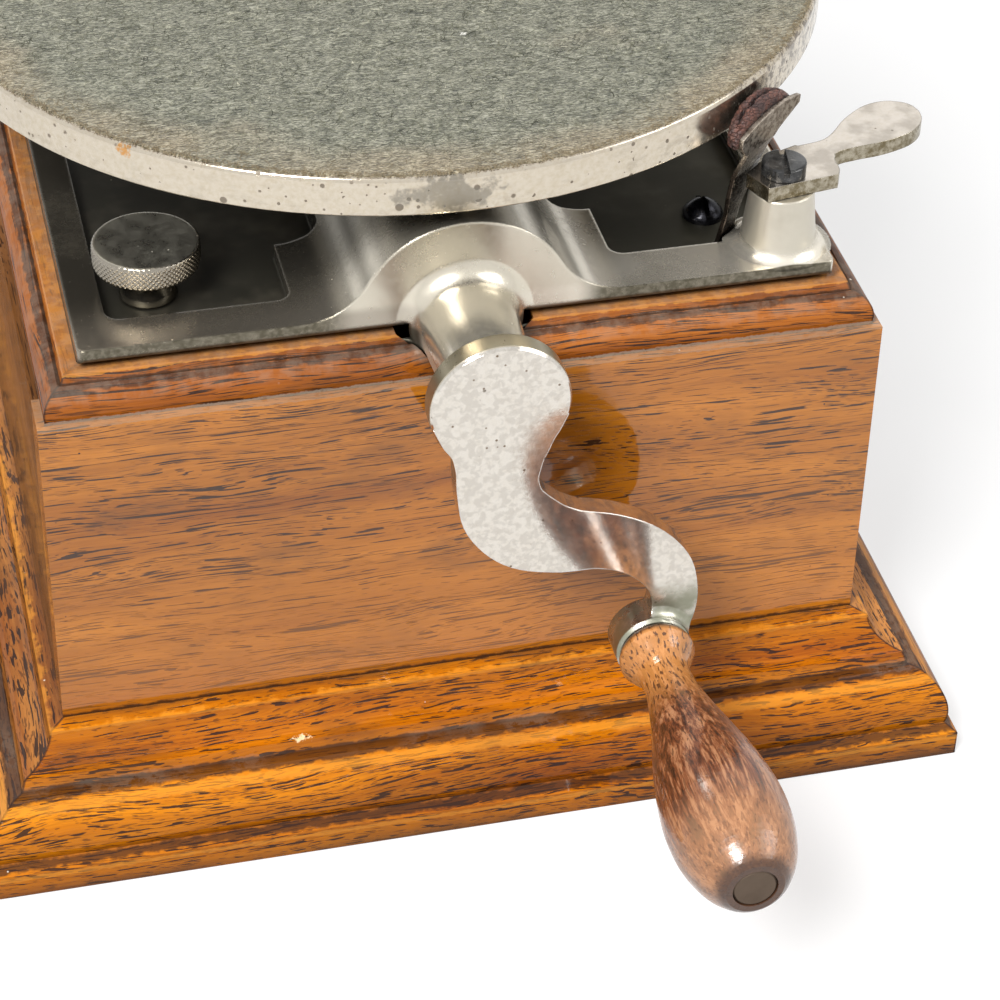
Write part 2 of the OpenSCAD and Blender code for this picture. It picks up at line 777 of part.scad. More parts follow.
// handle: a rolled collar, a thin neck and a pear-shaped grip
handle_rows = [[7.3, 2.2], [6.6, 3.6], [5.3, 6.2], [4.8, 9], [5.1, 13], [6.2, 19], [8, 26.5],
    [10, 35], [11.2, 43], [11.4, 48.5], [10.9, 54], [9.3, 59.5], [7, 63.3], [5.4, 64.7]];
module crank_handle() {
    k = handle_l / 64.7;
    g = handle_r / 11.4;
    outline = smooth_row([for (p = handle_rows) [p[0] * (p[1] > 15 ? g : 1), handle_y - p[1] * k]], 4);
    color(handle_c) difference() {
        turned_y(throw_x, crank_z - throw_z) polygon(concat([[0, handle_y], [6.7, handle_y]],
            arc([6.7, handle_y], [7.3, handle_y - 2.2 * k], 0.25, 4), outline, [[0, handle_y - handle_l]]));
        rod_y(handle_pin_r + run_fit + 0.03, handle_y - handle_l - 1, handle_l + 2, throw_x, crank_z - throw_z);
        rod_y(4.1 + run_fit + 0.03, handle_y - handle_l - 1, 4 + slide_gap, throw_x, crank_z - throw_z);
    }
}

// ---- turntable ----

felt_seat = 1.8;
table_hub_z = crank_z + ridge_r + bush_lip + slide_gap;
module turntable() {
    color(nickel) difference() {
        rotate_extrude($fn = 160) polygon(concat(
            [[0, table_hub_z], [14, table_hub_z], [16, rim_z + 2.2]],
            [[table_r - 4.5, rim_z + 3.2], [table_r - 2.2, rim_z + 1.6], [table_r - 2.2, rim_z]],
            [[table_r - 0.4, rim_z], [table_r, rim_z + 0.4], [table_r, table_top - 0.9]],
            [[table_r - 0.3, table_top - 0.25], [table_r - 0.9, table_top]],
            [[table_r - 1.7, table_top - 0.2], [table_r - 1.7, table_top - felt_seat]],
            [[0, table_top - felt_seat]]));
        translate([0, 0, table_hub_z - 1]) cylinder(r = spindle_r + press, h = 40);
    }
}

module turntable_felt() {
    color(felt_c) translate([0, 0, table_top - felt_seat]) difference() {
        cylinder(r = table_r - 1.9, h = felt_t, $fn = 120);
        translate([0, 0, -1]) cylinder(r = spindle_r + 0.3, h = felt_t + 2);
    }
}

module spindle() {
    shoulder = table_top - felt_seat + felt_t;
    tip = shoulder + record_pin_h;
    color(steel) rotate_extrude() polygon(concat([[0, step_z + 2], [spindle_r - 1, step_z + 2],
        [spindle_r, step_z + 3], [spindle_r, shoulder], [record_pin_r, shoulder]],
        arc([record_pin_r, tip - 3.2], [0, tip], -0.75, 8)));
}

module spindle_pinion() {
    color(brass) difference() {
        translate([0, 0, inter_z + contrate_r - 4]) linear_extrude(8) gear2d(spindle_teeth, train_m, 15);
        translate([0, 0, inter_z]) cylinder(r = spindle_r + press, h = 40);
    }
}

// fibre wheel with slanted teeth that drives the governor's worm
module governor_wheel() {
    slant = atan(worm_lead / (2 * PI * worm_r));
    turn = gov_wheel_w * tan(slant) / (train_m * gov_teeth / 2) * 180 / PI;
    color(brass) difference() {
        union() {
            translate([0, 0, gov_z - gov_wheel_w / 2]) linear_extrude(gov_wheel_w, twist = -turn, slices = 1)
                difference() {
                    gear2d(gov_teeth, train_m, 5 - turn / 2);
                    circle(r = 12, $fn = 48);
                }
            translate([0, 0, gov_z - gov_wheel_w / 2]) cylinder(r = 12.2, h = gov_wheel_w);
            translate([0, 0, gov_z - 6]) cylinder(r = 8, h = 12);
        }
        translate([0, 0, gov_z - 10]) cylinder(r = spindle_r + press, h = 20);
    }
}

// ---- spring barrel and winding work ----

module barrel_arbor() {
    color(steel) rod_y(arbor_r, front_plate_y, rear_plate_y + frame_t - front_plate_y, 0, barrel_z);
}

module winding_wheel() {
    color(brass) difference() {
        slab_y(wind_y, wind_w) translate([0, barrel_z]) difference() {
            gear2d(wind_teeth[1], wind_m);
            for (a = [45 : 90 : 315])
                rotate(a) translate([16, 0]) circle(r = 5);
        }
        rod_y(arbor_r + press, wind_y - 1, wind_w + 2, 0, barrel_z);
    }
}

ratchet_teeth = 24;
ratchet_r = 12;
ratchet_depth = 1.6;
module ratchet_wheel() {
    step = 360 / ratchet_teeth;
    color(steel) difference() {
        slab_y(ratchet_y, ratchet_w) translate([0, barrel_z]) polygon([for (i = [0 : ratchet_teeth - 1])
            each [ratchet_r * [cos(i * step), sin(i * step)],
                (ratchet_r - ratchet_depth) * [cos((i + 1) * step - 1.5), sin((i + 1) * step - 1.5)]]]);
        rod_y(arbor_r + press, ratchet_y - 1, ratchet_w + 2, 0, barrel_z);
    }
}

// click: its nose drops behind a ratchet tooth above and to the right of the arbor, and is drawn
// lifted clear of the teeth by click_rest degrees
click_a = 45;
click_reach = 13;
click_rest = 7;
click_x = (ratchet_r + 1.2) * cos(click_a) + click_reach * sin(click_a);
click_z = barrel_z + (ratchet_r + 1.2) * sin(click_a) - click_reach * cos(click_a);
module winding_click() {
    color(steel) difference() {
        slab_y(ratchet_y, ratchet_w) translate([click_x, click_z]) rotate(click_a + 90 - click_rest) union() {
            circle(r = 3.6);
            polygon([[0, -3.4], [click_reach - 2.6, -1.6], [click_reach - 0.4, -0.8],
                [click_reach - 0.4, 2.4], [click_reach - 1.5, 1.6], [click_reach - 3.2, 1.2],
                [click_reach - 6, 1.4], [click_reach - 9, 2.6], [0, 3.4]]);
        }
        rod_y(click_screw_r + run_fit, ratchet_y - 1, ratchet_w + 2, click_x, click_z);
    }
}

module click_screw() {
    y0 = front_plate_y;
    color(blued) union() {
        rod_y(click_screw_r, y0, ratchet_y + ratchet_w + slide_gap - y0, click_x, click_z);
        rod_y(3, ratchet_y + ratchet_w + slide_gap, 1.6, click_x, click_z);
        rod_y(2.6, y0 + frame_t, ratchet_y - slide_gap - y0 - frame_t, click_x, click_z);
    }
}

barrel_wall = 1.8;
cover_t = 2;
module spring_barrel() {
    color(brass) difference() {
        rod_y(barrel_r, barrel_y, barrel_l, 0, barrel_z);
        rod_y(barrel_r - barrel_wall, barrel_y - 1, barrel_l - barrel_wall + 1, 0, barrel_z);
        rod_y(arbor_r + run_fit, barrel_y, barrel_l + 1, 0, barrel_z);
    }
}

module barrel_cover() {
    color(brass) difference() {
        rod_y(barrel_r - barrel_wall - press, barrel_y, cover_t, 0, barrel_z);
        rod_y(arbor_r + run_fit, barrel_y - 1, cover_t + 2, 0, barrel_z);
    }
}

module great_wheel() {
    color(brass) difference() {
        slab_y(barrel_end, great_w) translate([0, barrel_z]) gear2d(great_teeth, train_m);
        rod_y(arbor_r + run_fit, barrel_end - 1, great_w + 2, 0, barrel_z);
    }
}

// mainspring: one strip wound outwards in even turns from the arbor to the barrel's wall
module mainspring() {
    r0 = arbor_r + 0.8;
    r1 = barrel_r - barrel_wall - 0.4 - spring_t / 2;
    n = spring_turns * 20;
    function at(i, off) = let (a = 18 * i, r = r0 + (r1 - r0) * i / n + off) r * [cos(a), sin(a)];
    rows = concat([for (i = [0 : n]) at(i, spring_t / 2)], [for (i = [n : -1 : 0]) at(i, -spring_t / 2)]);
    color(steel) slab_y(barrel_y + cover_t + 0.5, barrel_l - cover_t - barrel_wall - 1)
        translate([0, barrel_z]) polygon(rows);
}

// ---- going train ----

module intermediate_arbor() {
    color(steel) union() {
        rod_y(inter_r, front_plate_y, -10 - front_plate_y, 0, inter_z);
        slab_y(barrel_end - 1, great_w + 2) translate([0, inter_z]) gear2d(inter_teeth, train_m, 15);
    }
}

// contrate wheel: a ring of teeth that stand along its axis and drive the spindle's pinion
module contrate_wheel() {
    disc_y = -13;
    root_y = -spindle_pinion_r - 1.9 * train_m;
    tip_y = -spindle_pinion_r + 0.8 * train_m;
    color(brass) difference() {
        union() {
            rod_y(contrate_r + 1.5, disc_y, root_y - disc_y, 0, inter_z);
            rod_y(6, disc_y - 5, 5, 0, inter_z);
            for (i = [0 : contrate_teeth - 1])
                translate([0, 0, inter_z]) rotate([0, i * 360 / contrate_teeth, 0])
                    translate([0, 0, contrate_r - 1.5]) linear_extrude(3)
                        polygon([[-0.95, root_y - 0.2], [-0.35, tip_y], [0.35, tip_y], [0.95, root_y - 0.2]]);
        }
        rod_y(contrate_r - 2.5, disc_y + 2, 20, 0, inter_z);
        rod_y(inter_r + press, disc_y - 6, 30, 0, inter_z);
    }
}

// ---- governor ----

module governor_shaft() {
    step = 360 / worm_starts;
    at_root = 0.5 * 1.75 / worm_lead * 360;
    at_pitch = 0.5 * 1.2 / worm_lead * 360;
    at_tip = 0.5 * 0.7 / worm_lead * 360;
    color(steel) union() {
        rod_x(gov_shaft_r, gov_left, gov_right + bearing_w - gov_left, gov_y, gov_z);
        translate([-worm_l / 2, gov_y, gov_z]) rotate([0, 90, 0])
            linear_extrude(worm_l, twist = -360 * worm_l / worm_lead, slices = 24, $fn = 18)
                polygon([for (i = [0 : worm_starts - 1])
                    each tooth(-90 - 180 * worm_l / worm_lead + i * step, worm_r + worm_tip, worm_r,
                        worm_r - worm_root, [at_root, at_pitch, at_tip])]);
    }
}

module governor_collar() {
    color(brass) difference() {
        rod_x(collar_r, collar_x, collar_w, gov_y, gov_z);
        rod_x(gov_shaft_r + press, collar_x - 1, collar_w + 2, gov_y, gov_z);
    }
}

// sliding collar with the friction disc that the speed pad rubs on
module governor_disc() {
    color(brass) difference() {
        union() {
            rod_x(collar_r, disc_x - collar_w, collar_w, gov_y, gov_z);
            rod_x(9.5, disc_x - collar_w - 1.6, 1.6, gov_y, gov_z);
        }
        rod_x(gov_shaft_r + press, disc_x - 10, 20, gov_y, gov_z);
    }
}

module at_weights() {
    for (a = [0 : 120 : 240])
        translate([0, gov_y, gov_z]) rotate([a, 0, 0]) children();
}

// three leaf springs bowed out between the collars
spring_leaf_t = 0.4;
leaf_r = weight_orbit - weight_r - spring_leaf_t;
module governor_springs() {
    mid = (collar_x + disc_x) / 2;
    seat = collar_r + press;
    top = [[disc_x - collar_w, seat], [disc_x, seat], [mid - 5, leaf_r], [mid + 5, leaf_r],
        [collar_x, seat], [collar_x + collar_w, seat]];
    color(steel) at_weights() translate([0, 2, 0]) rotate([90, 0, 0]) linear_extrude(4)
        polygon(concat(top, [for (i = [5 : -1 : 0]) top[i] + [0, spring_leaf_t]]));
}

module governor_weights() {
    mid = (collar_x + disc_x) / 2;
    color(brass) at_weights() difference() {
        translate([mid, 0, weight_orbit]) sphere(r = weight_r);
        translate([mid - 6, -6, 0]) cube([12, 12, leaf_r + spring_leaf_t + press]);
    }
}

// ---- speed control ----

cam_z = gov_z + 8;
cam_r = 4;
cam_throw = 1.2;
lever_pivot_y = -12;
pad_reach = gov_y - lever_pivot_y;
lever_front = lever_pivot_y - knob_y;

module speed_knob() {
    top = floor_z + 6.9 + knob_h;
    color(nickel) difference() {
        translate([knob_x, knob_y, 0]) rotate_extrude() polygon(concat(
            [[0, floor_z + slide_gap], [knob_stem_r + 0.6, floor_z + slide_gap]],
            arc([knob_stem_r + 0.6, floor_z + slide_gap], [knob_stem_r, floor_z + 3], 0.3, 4),
            [[knob_stem_r - 0.3, top - knob_h], [knob_r - 0.6, top - knob_h], [knob_r, top - knob_h + 0.6],
            [knob_r, top - 0.5], [knob_r - 0.5, top], [0, top]]));
        translate([knob_x, knob_y, 0]) cylinder(r = knob_spindle_r + press, h = floor_z + 6);
    }
}

// spindle of the knob, with an eccentric disc in the fork of the speed lever
module speed_spindle() {
    color(steel) translate([knob_x, knob_y, 0]) {
        translate([0, 0, cam_z + 4]) cylinder(r = knob_spindle_r, h = floor_z + 6 - cam_z - 4);
        translate([0, -cam_throw, cam_z]) cylinder(r = cam_r, h = 4);
        translate([0, 0, pan_z - 0.3 - 2]) cylinder(r = 4.5, h = 2);
    }
}

// lever under the plate: a fork round the eccentric, a pivot, and an arm to the governor's disc
lever_w = 6;
lever_h = 3.5;
rub_gap = slide_gap + cam_throw * 0.87 * pad_reach / lever_front;
rub_t = 2.4;
rub_x = disc_x - collar_w - 1.6 - rub_gap - rub_t;
module speed_lever() {
    fork = cam_r + slide_gap;
    color(steel) difference() {
        union() {
            for (s = [-1, 1])
                translate([knob_x + s * (fork + 1.25) - 1.25, knob_y - 7, cam_z]) cube([2.5, 22, lever_h]);
            translate([knob_x - fork - 2.5, knob_y + 12, cam_z]) cube([2 * fork + 5, 5, lever_h]);
            translate([knob_x - lever_w / 2, knob_y + 14, cam_z]) cube([lever_w, lever_front - 12, lever_h]);
            translate([knob_x, lever_pivot_y, cam_z]) cylinder(r = lever_w, h = lever_h);
            translate([knob_x - lever_w / 2, lever_pivot_y, cam_z]) cube([lever_w, 25, lever_h]);
            translate([rub_x - 3, lever_pivot_y + 19, cam_z]) cube([3, pad_reach - 14, lever_h]);
            translate([rub_x - 2, gov_y - 5, gov_z - 8]) cube([2, 10, cam_z + lever_h - gov_z + 8]);
        }
        translate([knob_x, lever_pivot_y, cam_z - 1]) cylinder(r = pivot_r + run_fit, h = 10);
        rod_x(gov_shaft_r + 2, rub_x - 4, 10, gov_y, gov_z);
    }
}

module lever_pivot() {
    color(steel) translate([knob_x, lever_pivot_y, 0]) union() {
        translate([0, 0, cam_z - slide_gap]) cylinder(r = pivot_r, h = pan_z - cam_z + slide_gap);
        translate([0, 0, cam_z - slide_gap - 2]) cylinder(r = 2 * pivot_r, h = 2);
        translate([0, 0, cam_z + lever_h + slide_gap])
            cylinder(r = 2 * pivot_r, h = pan_z - cam_z - lever_h - slide_gap);
    }
}

module friction_pad() {
    color(leather_c) translate([rub_x, gov_y - 4, gov_z - 8]) cube([rub_t, 8, 4]);
}

// ---- brake ----

// plan of the brake lever: a cam with a flat towards the strip, a waist and a leaf-shaped finger
module lever2d() {
    flat = brake_a + 180;
    nose = cam_nose * [cos(flat + 43), sin(flat + 43)];
    heel = 6.4 * [cos(flat - 31), sin(flat - 31)];
    difference() {
        union() {
            polygon([nose, heel, [5, 8.6], [11.5, 5.2], [10.6, -1.5], [9.9, -2.9], [-4.4, -5.2]]);
            polygon(band(smooth_row([[7, 5, 3.6], [11.5, 7, 2.5], [15, 8.6, 3.3], [19.5, 11, 5.2],
                [25, 14, 6.2], [29, 16.2, 5], [31.2, 17.4, 2.4], [31.8, 17.7, 0.1]])));
        }
        translate([14.3, 1.3]) circle(r = 3.6);
    }
}

module brake_lever() {
    color(nickel) translate([post_x, post_y, post_top + 0.1]) difference() {
        linear_extrude(lever_t) lever2d();
        translate([0, 0, -1]) cylinder(r = brake_screw_r + run_fit, h = 10);
    }
}

module brake_screw() {
    color(blued) translate([post_x, post_y, post_top + 0.1 + lever_t + 0.1]) rotate(105)
        screw(4.4, 3, brake_screw_r, lever_t + 9, 1.1);
}

// section of the spring strip in the plane through the turntable's axis: [radius, height]
strip_low = pan_z + 0.4;
strip_mid = post_top + 3;
strip_path = [[foot_r, strip_low], [foot_r, floor_z], [strip_face - strip_t / 2, strip_mid],
    [table_r + pad_gap + pad_t + strip_t / 2 - 0.33, pad_z - 6],
    [table_r + pad_gap + pad_t + strip_t / 2 + 0.4, pad_z + 5.5]];

module strip_section() {
    rows = [for (p = strip_path) [p[0], p[1], strip_t / 2]];
    polygon(band(rows));
}

// the strip's outline seen along its face: narrow at the foot, and a leaf that points to the right;
// places are taken across from the post's radius and up from the pad's middle
strip_side = -3;
leaf = concat(arc([10.2, -0.9], [-9.2, -1.8], -1.6, 14), arc([-9.2, -1.8], [-6.6, -6.4], -1.1, 6),
    [[-7.2, -12], [-6.6, -17], [-5.2, -22], [-0.8, -22], [0, -17], [1, -12]],
    arc([1.2, -7.8], [4.2, -4.9], 0.4, 5), [[10.2, -2.4]]);
module strip_outline() {
    translate([strip_side - 2.2, strip_low]) square([4.4, pad_z - 20 - strip_low]);
    translate([0, pad_z]) polygon(leaf);
}

module on_brake_radius() {
    rotate(brake_a) children();
}

module brake_spring() {
    color(steel) on_brake_radius() intersection() {
        translate([0, 10, 0]) rotate([90, 0, 0]) linear_extrude(20) strip_section();
        rotate([90, 0, 90]) linear_extrude(120) strip_outline();
    }
}

// thick leather pad with a domed upper edge
pad_outline = concat(arc([9.9, -1.2], [-10.6, -1.8], -4.2, 14), arc([-10.6, -1.8], [-9.4, -4.8], -0.4, 3),
    arc([-9.4, -4.8], [10.1, -2.8], -1.5, 10));
module brake_pad() {
    seat = table_r + pad_gap + pad_t - 0.05;
    color(leather_c) on_brake_radius() translate([seat - pad_t, 0, pad_z]) rotate([0, 3.6, 0])
        rotate([90, 0, 90]) linear_extrude(pad_t + 0.05) polygon(pad_outline);
}

base_moulding_front();
base_moulding_back();
base_moulding_left();
base_moulding_right();
front_panel();
back_panel();
left_panel();
right_panel();
top_moulding_front();
top_moulding_back();
top_moulding_left();
top_moulding_right();
bottom_board();
corner_blocks();
bottom_screws();
motor_plate();
plate_screws();
frame_screws();
spindle_bush();
frame_plate_front();
frame_plate_rear();
frame_pillars();
footstep_bracket();
governor_bearing_left();
governor_bearing_right();
crank_arm();
crank_shaft();
winding_pinion();
handle_pin();
crank_handle();
turntable();
turntable_felt();
spindle();
spindle_pinion();
governor_wheel();
barrel_arbor();
winding_wheel();
ratchet_wheel();
winding_click();
click_screw();
spring_barrel();
barrel_cover();
great_wheel();
mainspring();
intermediate_arbor();
contrate_wheel();
governor_shaft();
governor_collar();
governor_disc();
governor_springs();
governor_weights();
speed_knob();
speed_spindle();
speed_lever();
lever_pivot();
friction_pad();
brake_lever();
brake_screw();
brake_spring();
brake_pad();
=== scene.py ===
import math

import bmesh
import bpy
import numpy as np
from mathutils import Matrix, Vector, noise


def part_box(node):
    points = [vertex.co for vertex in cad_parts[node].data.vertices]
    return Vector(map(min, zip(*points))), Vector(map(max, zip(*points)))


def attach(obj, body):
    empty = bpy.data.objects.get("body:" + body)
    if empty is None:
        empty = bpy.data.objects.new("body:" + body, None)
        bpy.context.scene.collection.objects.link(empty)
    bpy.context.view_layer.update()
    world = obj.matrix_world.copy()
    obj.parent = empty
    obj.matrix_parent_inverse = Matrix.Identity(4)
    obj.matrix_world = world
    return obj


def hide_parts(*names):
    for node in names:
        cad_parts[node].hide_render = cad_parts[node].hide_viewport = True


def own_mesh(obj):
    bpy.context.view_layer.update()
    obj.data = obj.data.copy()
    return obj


# Looks of a table-top gramophone cabinet. Blender's unit is the metre. Sizes here are in
# millimetres, except the studio's. Angles are in degrees, colours are linear RGB.

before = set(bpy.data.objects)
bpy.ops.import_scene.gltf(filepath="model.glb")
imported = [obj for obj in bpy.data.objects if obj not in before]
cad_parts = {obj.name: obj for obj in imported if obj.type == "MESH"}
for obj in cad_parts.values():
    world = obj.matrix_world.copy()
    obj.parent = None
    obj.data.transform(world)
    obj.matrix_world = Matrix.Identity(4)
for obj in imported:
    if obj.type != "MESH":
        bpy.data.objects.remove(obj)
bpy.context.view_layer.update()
MM = 0.001


# ---- the frame's own sizes, in millimetres ----

def corners(node):
    """The lowest and the highest corner of a node's box."""
    low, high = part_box(node)
    return low / MM, high / MM


def halfway(low, high):
    return [(a + b) / 2 for a, b in zip(low, high)]


PANEL_LOW, PANEL_HIGH = corners("front_panel")
TABLE_LOW, TABLE_HIGH = corners("turntable")
FELT_LOW, FELT_HIGH = corners("turntable_felt")
KNOB_LOW, KNOB_HIGH = corners("speed_knob")
HANDLE_LOW, HANDLE_HIGH = corners("crank_handle")
# half the case's width and half its depth, over the panels
CASE_HX = PANEL_HIGH.x
CASE_HY = -PANEL_LOW.y
PANEL_H = PANEL_HIGH.z
BASE_TOP = corners("base_moulding_front")[1].z
TOP_Z = corners("top_moulding_front")[1].z
TABLE_R = TABLE_HIGH.x
TABLE_TOP = TABLE_HIGH.z
SHAFT_Z = halfway(*corners("crank_shaft"))[2]
# the motor plate's front edge beside the boss, and the crank arm's front face
EDGE_Y = -84.2
CRANK_FACE = -113.0


# ---- camera, in the photograph's frame of 1000 x 1000 pixels ----

AZIMUTH = -14.45
ELEVATION = 38.21
ROLL = 1.48
DISTANCE = 533.96
LOOK_AT = Vector((-4.55, -130.93, 100.0))
LENS_MM = 110.92
SENSOR_MM = 36.0


def add_camera():
    az, el, roll = (math.radians(a) for a in (AZIMUTH, ELEVATION, ROLL))
    ahead = Vector((-math.sin(az) * math.cos(el), math.cos(az) * math.cos(el), -math.sin(el)))
    right = Vector((math.cos(az), math.sin(az), 0))
    up = right.cross(ahead)
    across = right * math.cos(roll) + up * math.sin(roll)
    upward = up * math.cos(roll) - right * math.sin(roll)
    data = bpy.data.cameras.new("camera")
    data.lens = LENS_MM
    data.sensor_width = SENSOR_MM
    data.clip_start = 0.01
    camera = bpy.data.objects.new("camera", data)
    turn = Matrix((across, upward, -ahead)).transposed().to_4x4()
    camera.matrix_world = Matrix.Translation((LOOK_AT - ahead * DISTANCE) * MM) @ turn
    bpy.context.scene.collection.objects.link(camera)
    bpy.context.scene.camera = camera


# ---- material graphs ----

class Graph:
    """A node material. Its methods add nodes, wire or set their sockets and return an output."""

    def __init__(self, name):
        self.mat = bpy.data.materials.new(name)
        self.mat.use_nodes = True
        self.tree = self.mat.node_tree
        self.shader = self.tree.nodes["Principled BSDF"]
        self.coords = self.node("ShaderNodeTexCoord").outputs["Object"]
        self.at = self.place()

    def node(self, kind, inputs=(), **settings):
        made = self.tree.nodes.new(kind)
        for key, value in settings.items():
            setattr(made, key, value)
        for key, value in dict(inputs).items():
            self.wire(made.inputs[key], value)
        return made

    def wire(self, socket, value):
        if isinstance(value, bpy.types.NodeSocket):
            self.tree.links.new(value, socket)
        elif socket.type == "RGBA" and len(value) == 3:
            socket.default_value = (*value, 1)
        else:
            socket.default_value = value

    def place(self, scale=(1, 1, 1), turn=(0, 0, 0), shift=(0, 0, 0)):
        """Object coordinates in millimetres, turned (degrees), then scaled and shifted."""
        turned = self.node("ShaderNodeMapping", {"Vector": self.coords,
            "Rotation": [math.radians(a) for a in turn], "Scale": (1 / MM,) * 3})
        return self.node("ShaderNodeMapping", {"Vector": turned.outputs[0], "Scale": scale,
            "Location": shift}).outputs[0]

    def remap(self, vector, scale, turn=(0, 0, 0)):
        return self.node("ShaderNodeMapping", {"Vector": vector, "Scale": scale,
            "Rotation": [math.radians(a) for a in turn]}).outputs[0]

    def noise(self, vector, scale=1.0, detail=2.0, rough=0.5, warp=0.0):
        return self.node("ShaderNodeTexNoise", {"Vector": vector, "Scale": scale, "Detail": detail,
            "Roughness": rough, "Distortion": warp}).outputs["Fac"]

    def cells(self, vector, scale=1.0, feature="F1"):
        return self.node("ShaderNodeTexVoronoi", {"Vector": vector, "Scale": scale},
            feature=feature)

    def span(self, value, low, high, to_low=0.0, to_high=1.0):
        return self.node("ShaderNodeMapRange", {"Value": value, "From Min": low, "From Max": high,
            "To Min": to_low, "To Max": to_high}, interpolation_type="SMOOTHSTEP").outputs[0]

    def calc(self, operation, *terms):
        total = terms[0]
        for term in terms[1:]:
            made = self.node("ShaderNodeMath", operation=operation)
            self.wire(made.inputs[0], total)
            self.wire(made.inputs[1], term)
            total = made.outputs[0]
        return total

    def sum(self, *terms):
        return self.calc("ADD", *terms)

    def less(self, *terms):
        return self.calc("SUBTRACT", *terms)

    def times(self, *terms):
        return self.calc("MULTIPLY", *terms)

    def most(self, *terms):
        return self.calc("MAXIMUM", *terms)

    def absolute(self, value):
        return self.calc("ABSOLUTE", value, 0)

    def root(self, value):
        return self.calc("POWER", value, 0.5)

    def mix(self, factor, a, b):
        made = self.node("ShaderNodeMix", data_type="RGBA")
        self.wire(made.inputs[0], factor)
        self.wire(made.inputs[6], a)
        self.wire(made.inputs[7], b)
        return made.outputs[2]

    def ramp(self, value, *stops):
        made = self.node("ShaderNodeValToRGB", {"Fac": value})
        band = made.color_ramp
        band.elements[0].position, band.elements[0].color = stops[0][0], (*stops[0][1], 1)
        band.elements[1].position, band.elements[1].color = stops[-1][0], (*stops[-1][1], 1)
        for at, colour in stops[1:-1]:
            band.elements.new(at).color = (*colour, 1)
        return made.outputs["Color"]

    def axes(self, vector=None):
        return self.node("ShaderNodeSeparateXYZ", {"Vector": vector or self.at}).outputs

    def radius(self):
        """Distance from the turntable's axis."""
        x, y, _ = self.axes()
        return self.root(self.sum(self.times(x, x), self.times(y, y)))

    def spot(self, centre, size, stretch=(1, 1, 1)):
        """A soft blot round a point, of a radius of size along the axes where stretch is 1."""
        way = self.node("ShaderNodeVectorMath", operation="SUBTRACT")
        self.wire(way.inputs[0], self.at)
        self.wire(way.inputs[1], centre)
        long = self.node("ShaderNodeVectorMath", {"Vector": self.remap(way.outputs[0], stretch)},
            operation="LENGTH").outputs["Value"]
        uneven = self.noise(self.at, 1.6 / size, 3, 0.6)
        ragged = self.span(uneven, 0.2, 0.8, -size * 0.6, size * 0.6)
        return self.span(self.sum(long, ragged), size, size * 0.5)

    def corner_shade_and_dirt(self, reach_mm, low=0.35, high=0.85):
        """1 in tight inner corners, 0 in the open, from ambient occlusion: where shade and dirt
        are painted.
        """
        shut = self.node("ShaderNodeAmbientOcclusion", {"Distance": reach_mm * MM}, samples=8)
        return self.span(shut.outputs["AO"], high, low)

    def upward(self):
        """1 where the surface faces up, for dust that settles."""
        normal = self.node("ShaderNodeNewGeometry").outputs["Normal"]
        return self.span(self.axes(normal)[2], 0.15, 0.6)

    def soft_edges(self, radius_mm):
        """Normals that run round an edge, so that it catches the light."""
        return self.node("ShaderNodeBevel", {"Radius": radius_mm * MM}, samples=6).outputs[0]

    def bump(self, height, depth_mm, normal=None):
        inputs = {"Height": height, "Strength": 1.0, "Distance": depth_mm * MM}
        if normal is not None:
            inputs["Normal"] = normal
        return self.node("ShaderNodeBump", inputs).outputs[0]

    def finish(self, **sockets):
        for key, value in sockets.items():
            self.wire(self.shader.inputs[key.replace("_", " ")], value)
        return self.mat


def speckle(g, pitch, share, size, shift=0.0, patchy=None):
    """Round spots of uneven size: one cell in pitch millimetres, in a share of the cells."""
    spots = g.cells(g.place(shift=(shift, shift * 0.7, shift * 1.3)), 1 / pitch)
    lot, second, _ = g.node("ShaderNodeSeparateColor", {"Color": spots.outputs["Color"]}).outputs
    reach = g.span(second, 0, 1, size * 0.35, size)
    near = g.span(g.less(spots.outputs["Distance"], reach), 0.03, -0.03)
    chosen = g.calc("LESS_THAN", lot, share if patchy is None else g.times(patchy, share))
    return g.times(near, chosen)


# ---- wood ----

PORE = (0.018, 0.009, 0.007)
# grime, and the painted shade of inner corners
GRIME_AND_SHADE = (0.085, 0.034, 0.012)
# painted shade in a moulding's recesses
RECESS_SHADE = (0.035, 0.013, 0.006)
DUST = (0.36, 0.32, 0.26)
PALE_DUST = (0.75, 0.70, 0.60)
CREAM = (0.80, 0.62, 0.36)
# painted highlight, with wear, on a moulding's ridges
RIDGE_HIGHLIGHT_AND_WEAR = (0.80, 0.32, 0.03)
# painted reflection of the orange base moulding, at the panels' foot
BASE_MOULDING_REFLECTION = (0.66, 0.225, 0.012)
RUBBED = (0.46, 0.19, 0.055)
# tones of the wood: light, middle and dark
HONEY = ((0.58, 0.205, 0.018), (0.43, 0.142, 0.009), (0.29, 0.082, 0.004))
AMBER = ((0.66, 0.220, 0.004), (0.48, 0.140, 0.002), (0.27, 0.062, 0.001))
RUSSET = ((0.44, 0.132, 0.012), (0.30, 0.080, 0.006), (0.15, 0.036, 0.003))
# the side panels' tones: darker than the front's, as painted shade for the less lit sides
SHADED_SIDE_TONES = ((0.30, 0.132, 0.052), (0.225, 0.096, 0.034), (0.145, 0.058, 0.016))
TAN = ((0.57, 0.232, 0.048), (0.42, 0.160, 0.032), (0.24, 0.070, 0.010))
# pores: 1 / length, 1 / width, and the level that the noise has to pass
LONG_PORES = (0.072, 2.5, 0.614)
SHORT_PORES = (0.15, 2.1, 0.605)
# a moulding's recesses and ridges, where shade and highlights are painted: millimetres below its
# top, and half width
TOP_RECESSES = ((1.9, 0.55),)
TOP_RIDGES = ((0.3, 0.35),)
BASE_RECESSES = ((9.0, 0.75), (21.0, 0.8))
BASE_RIDGES = ((0.9, 0.5), (10.4, 0.9), (22.9, 0.7))
COVE_DEPTH = 8.6
CHIPS = (((-35.0, -98.5, 21.2), 1.0), ((-29.5, -101.0, 16.2), 1.1))


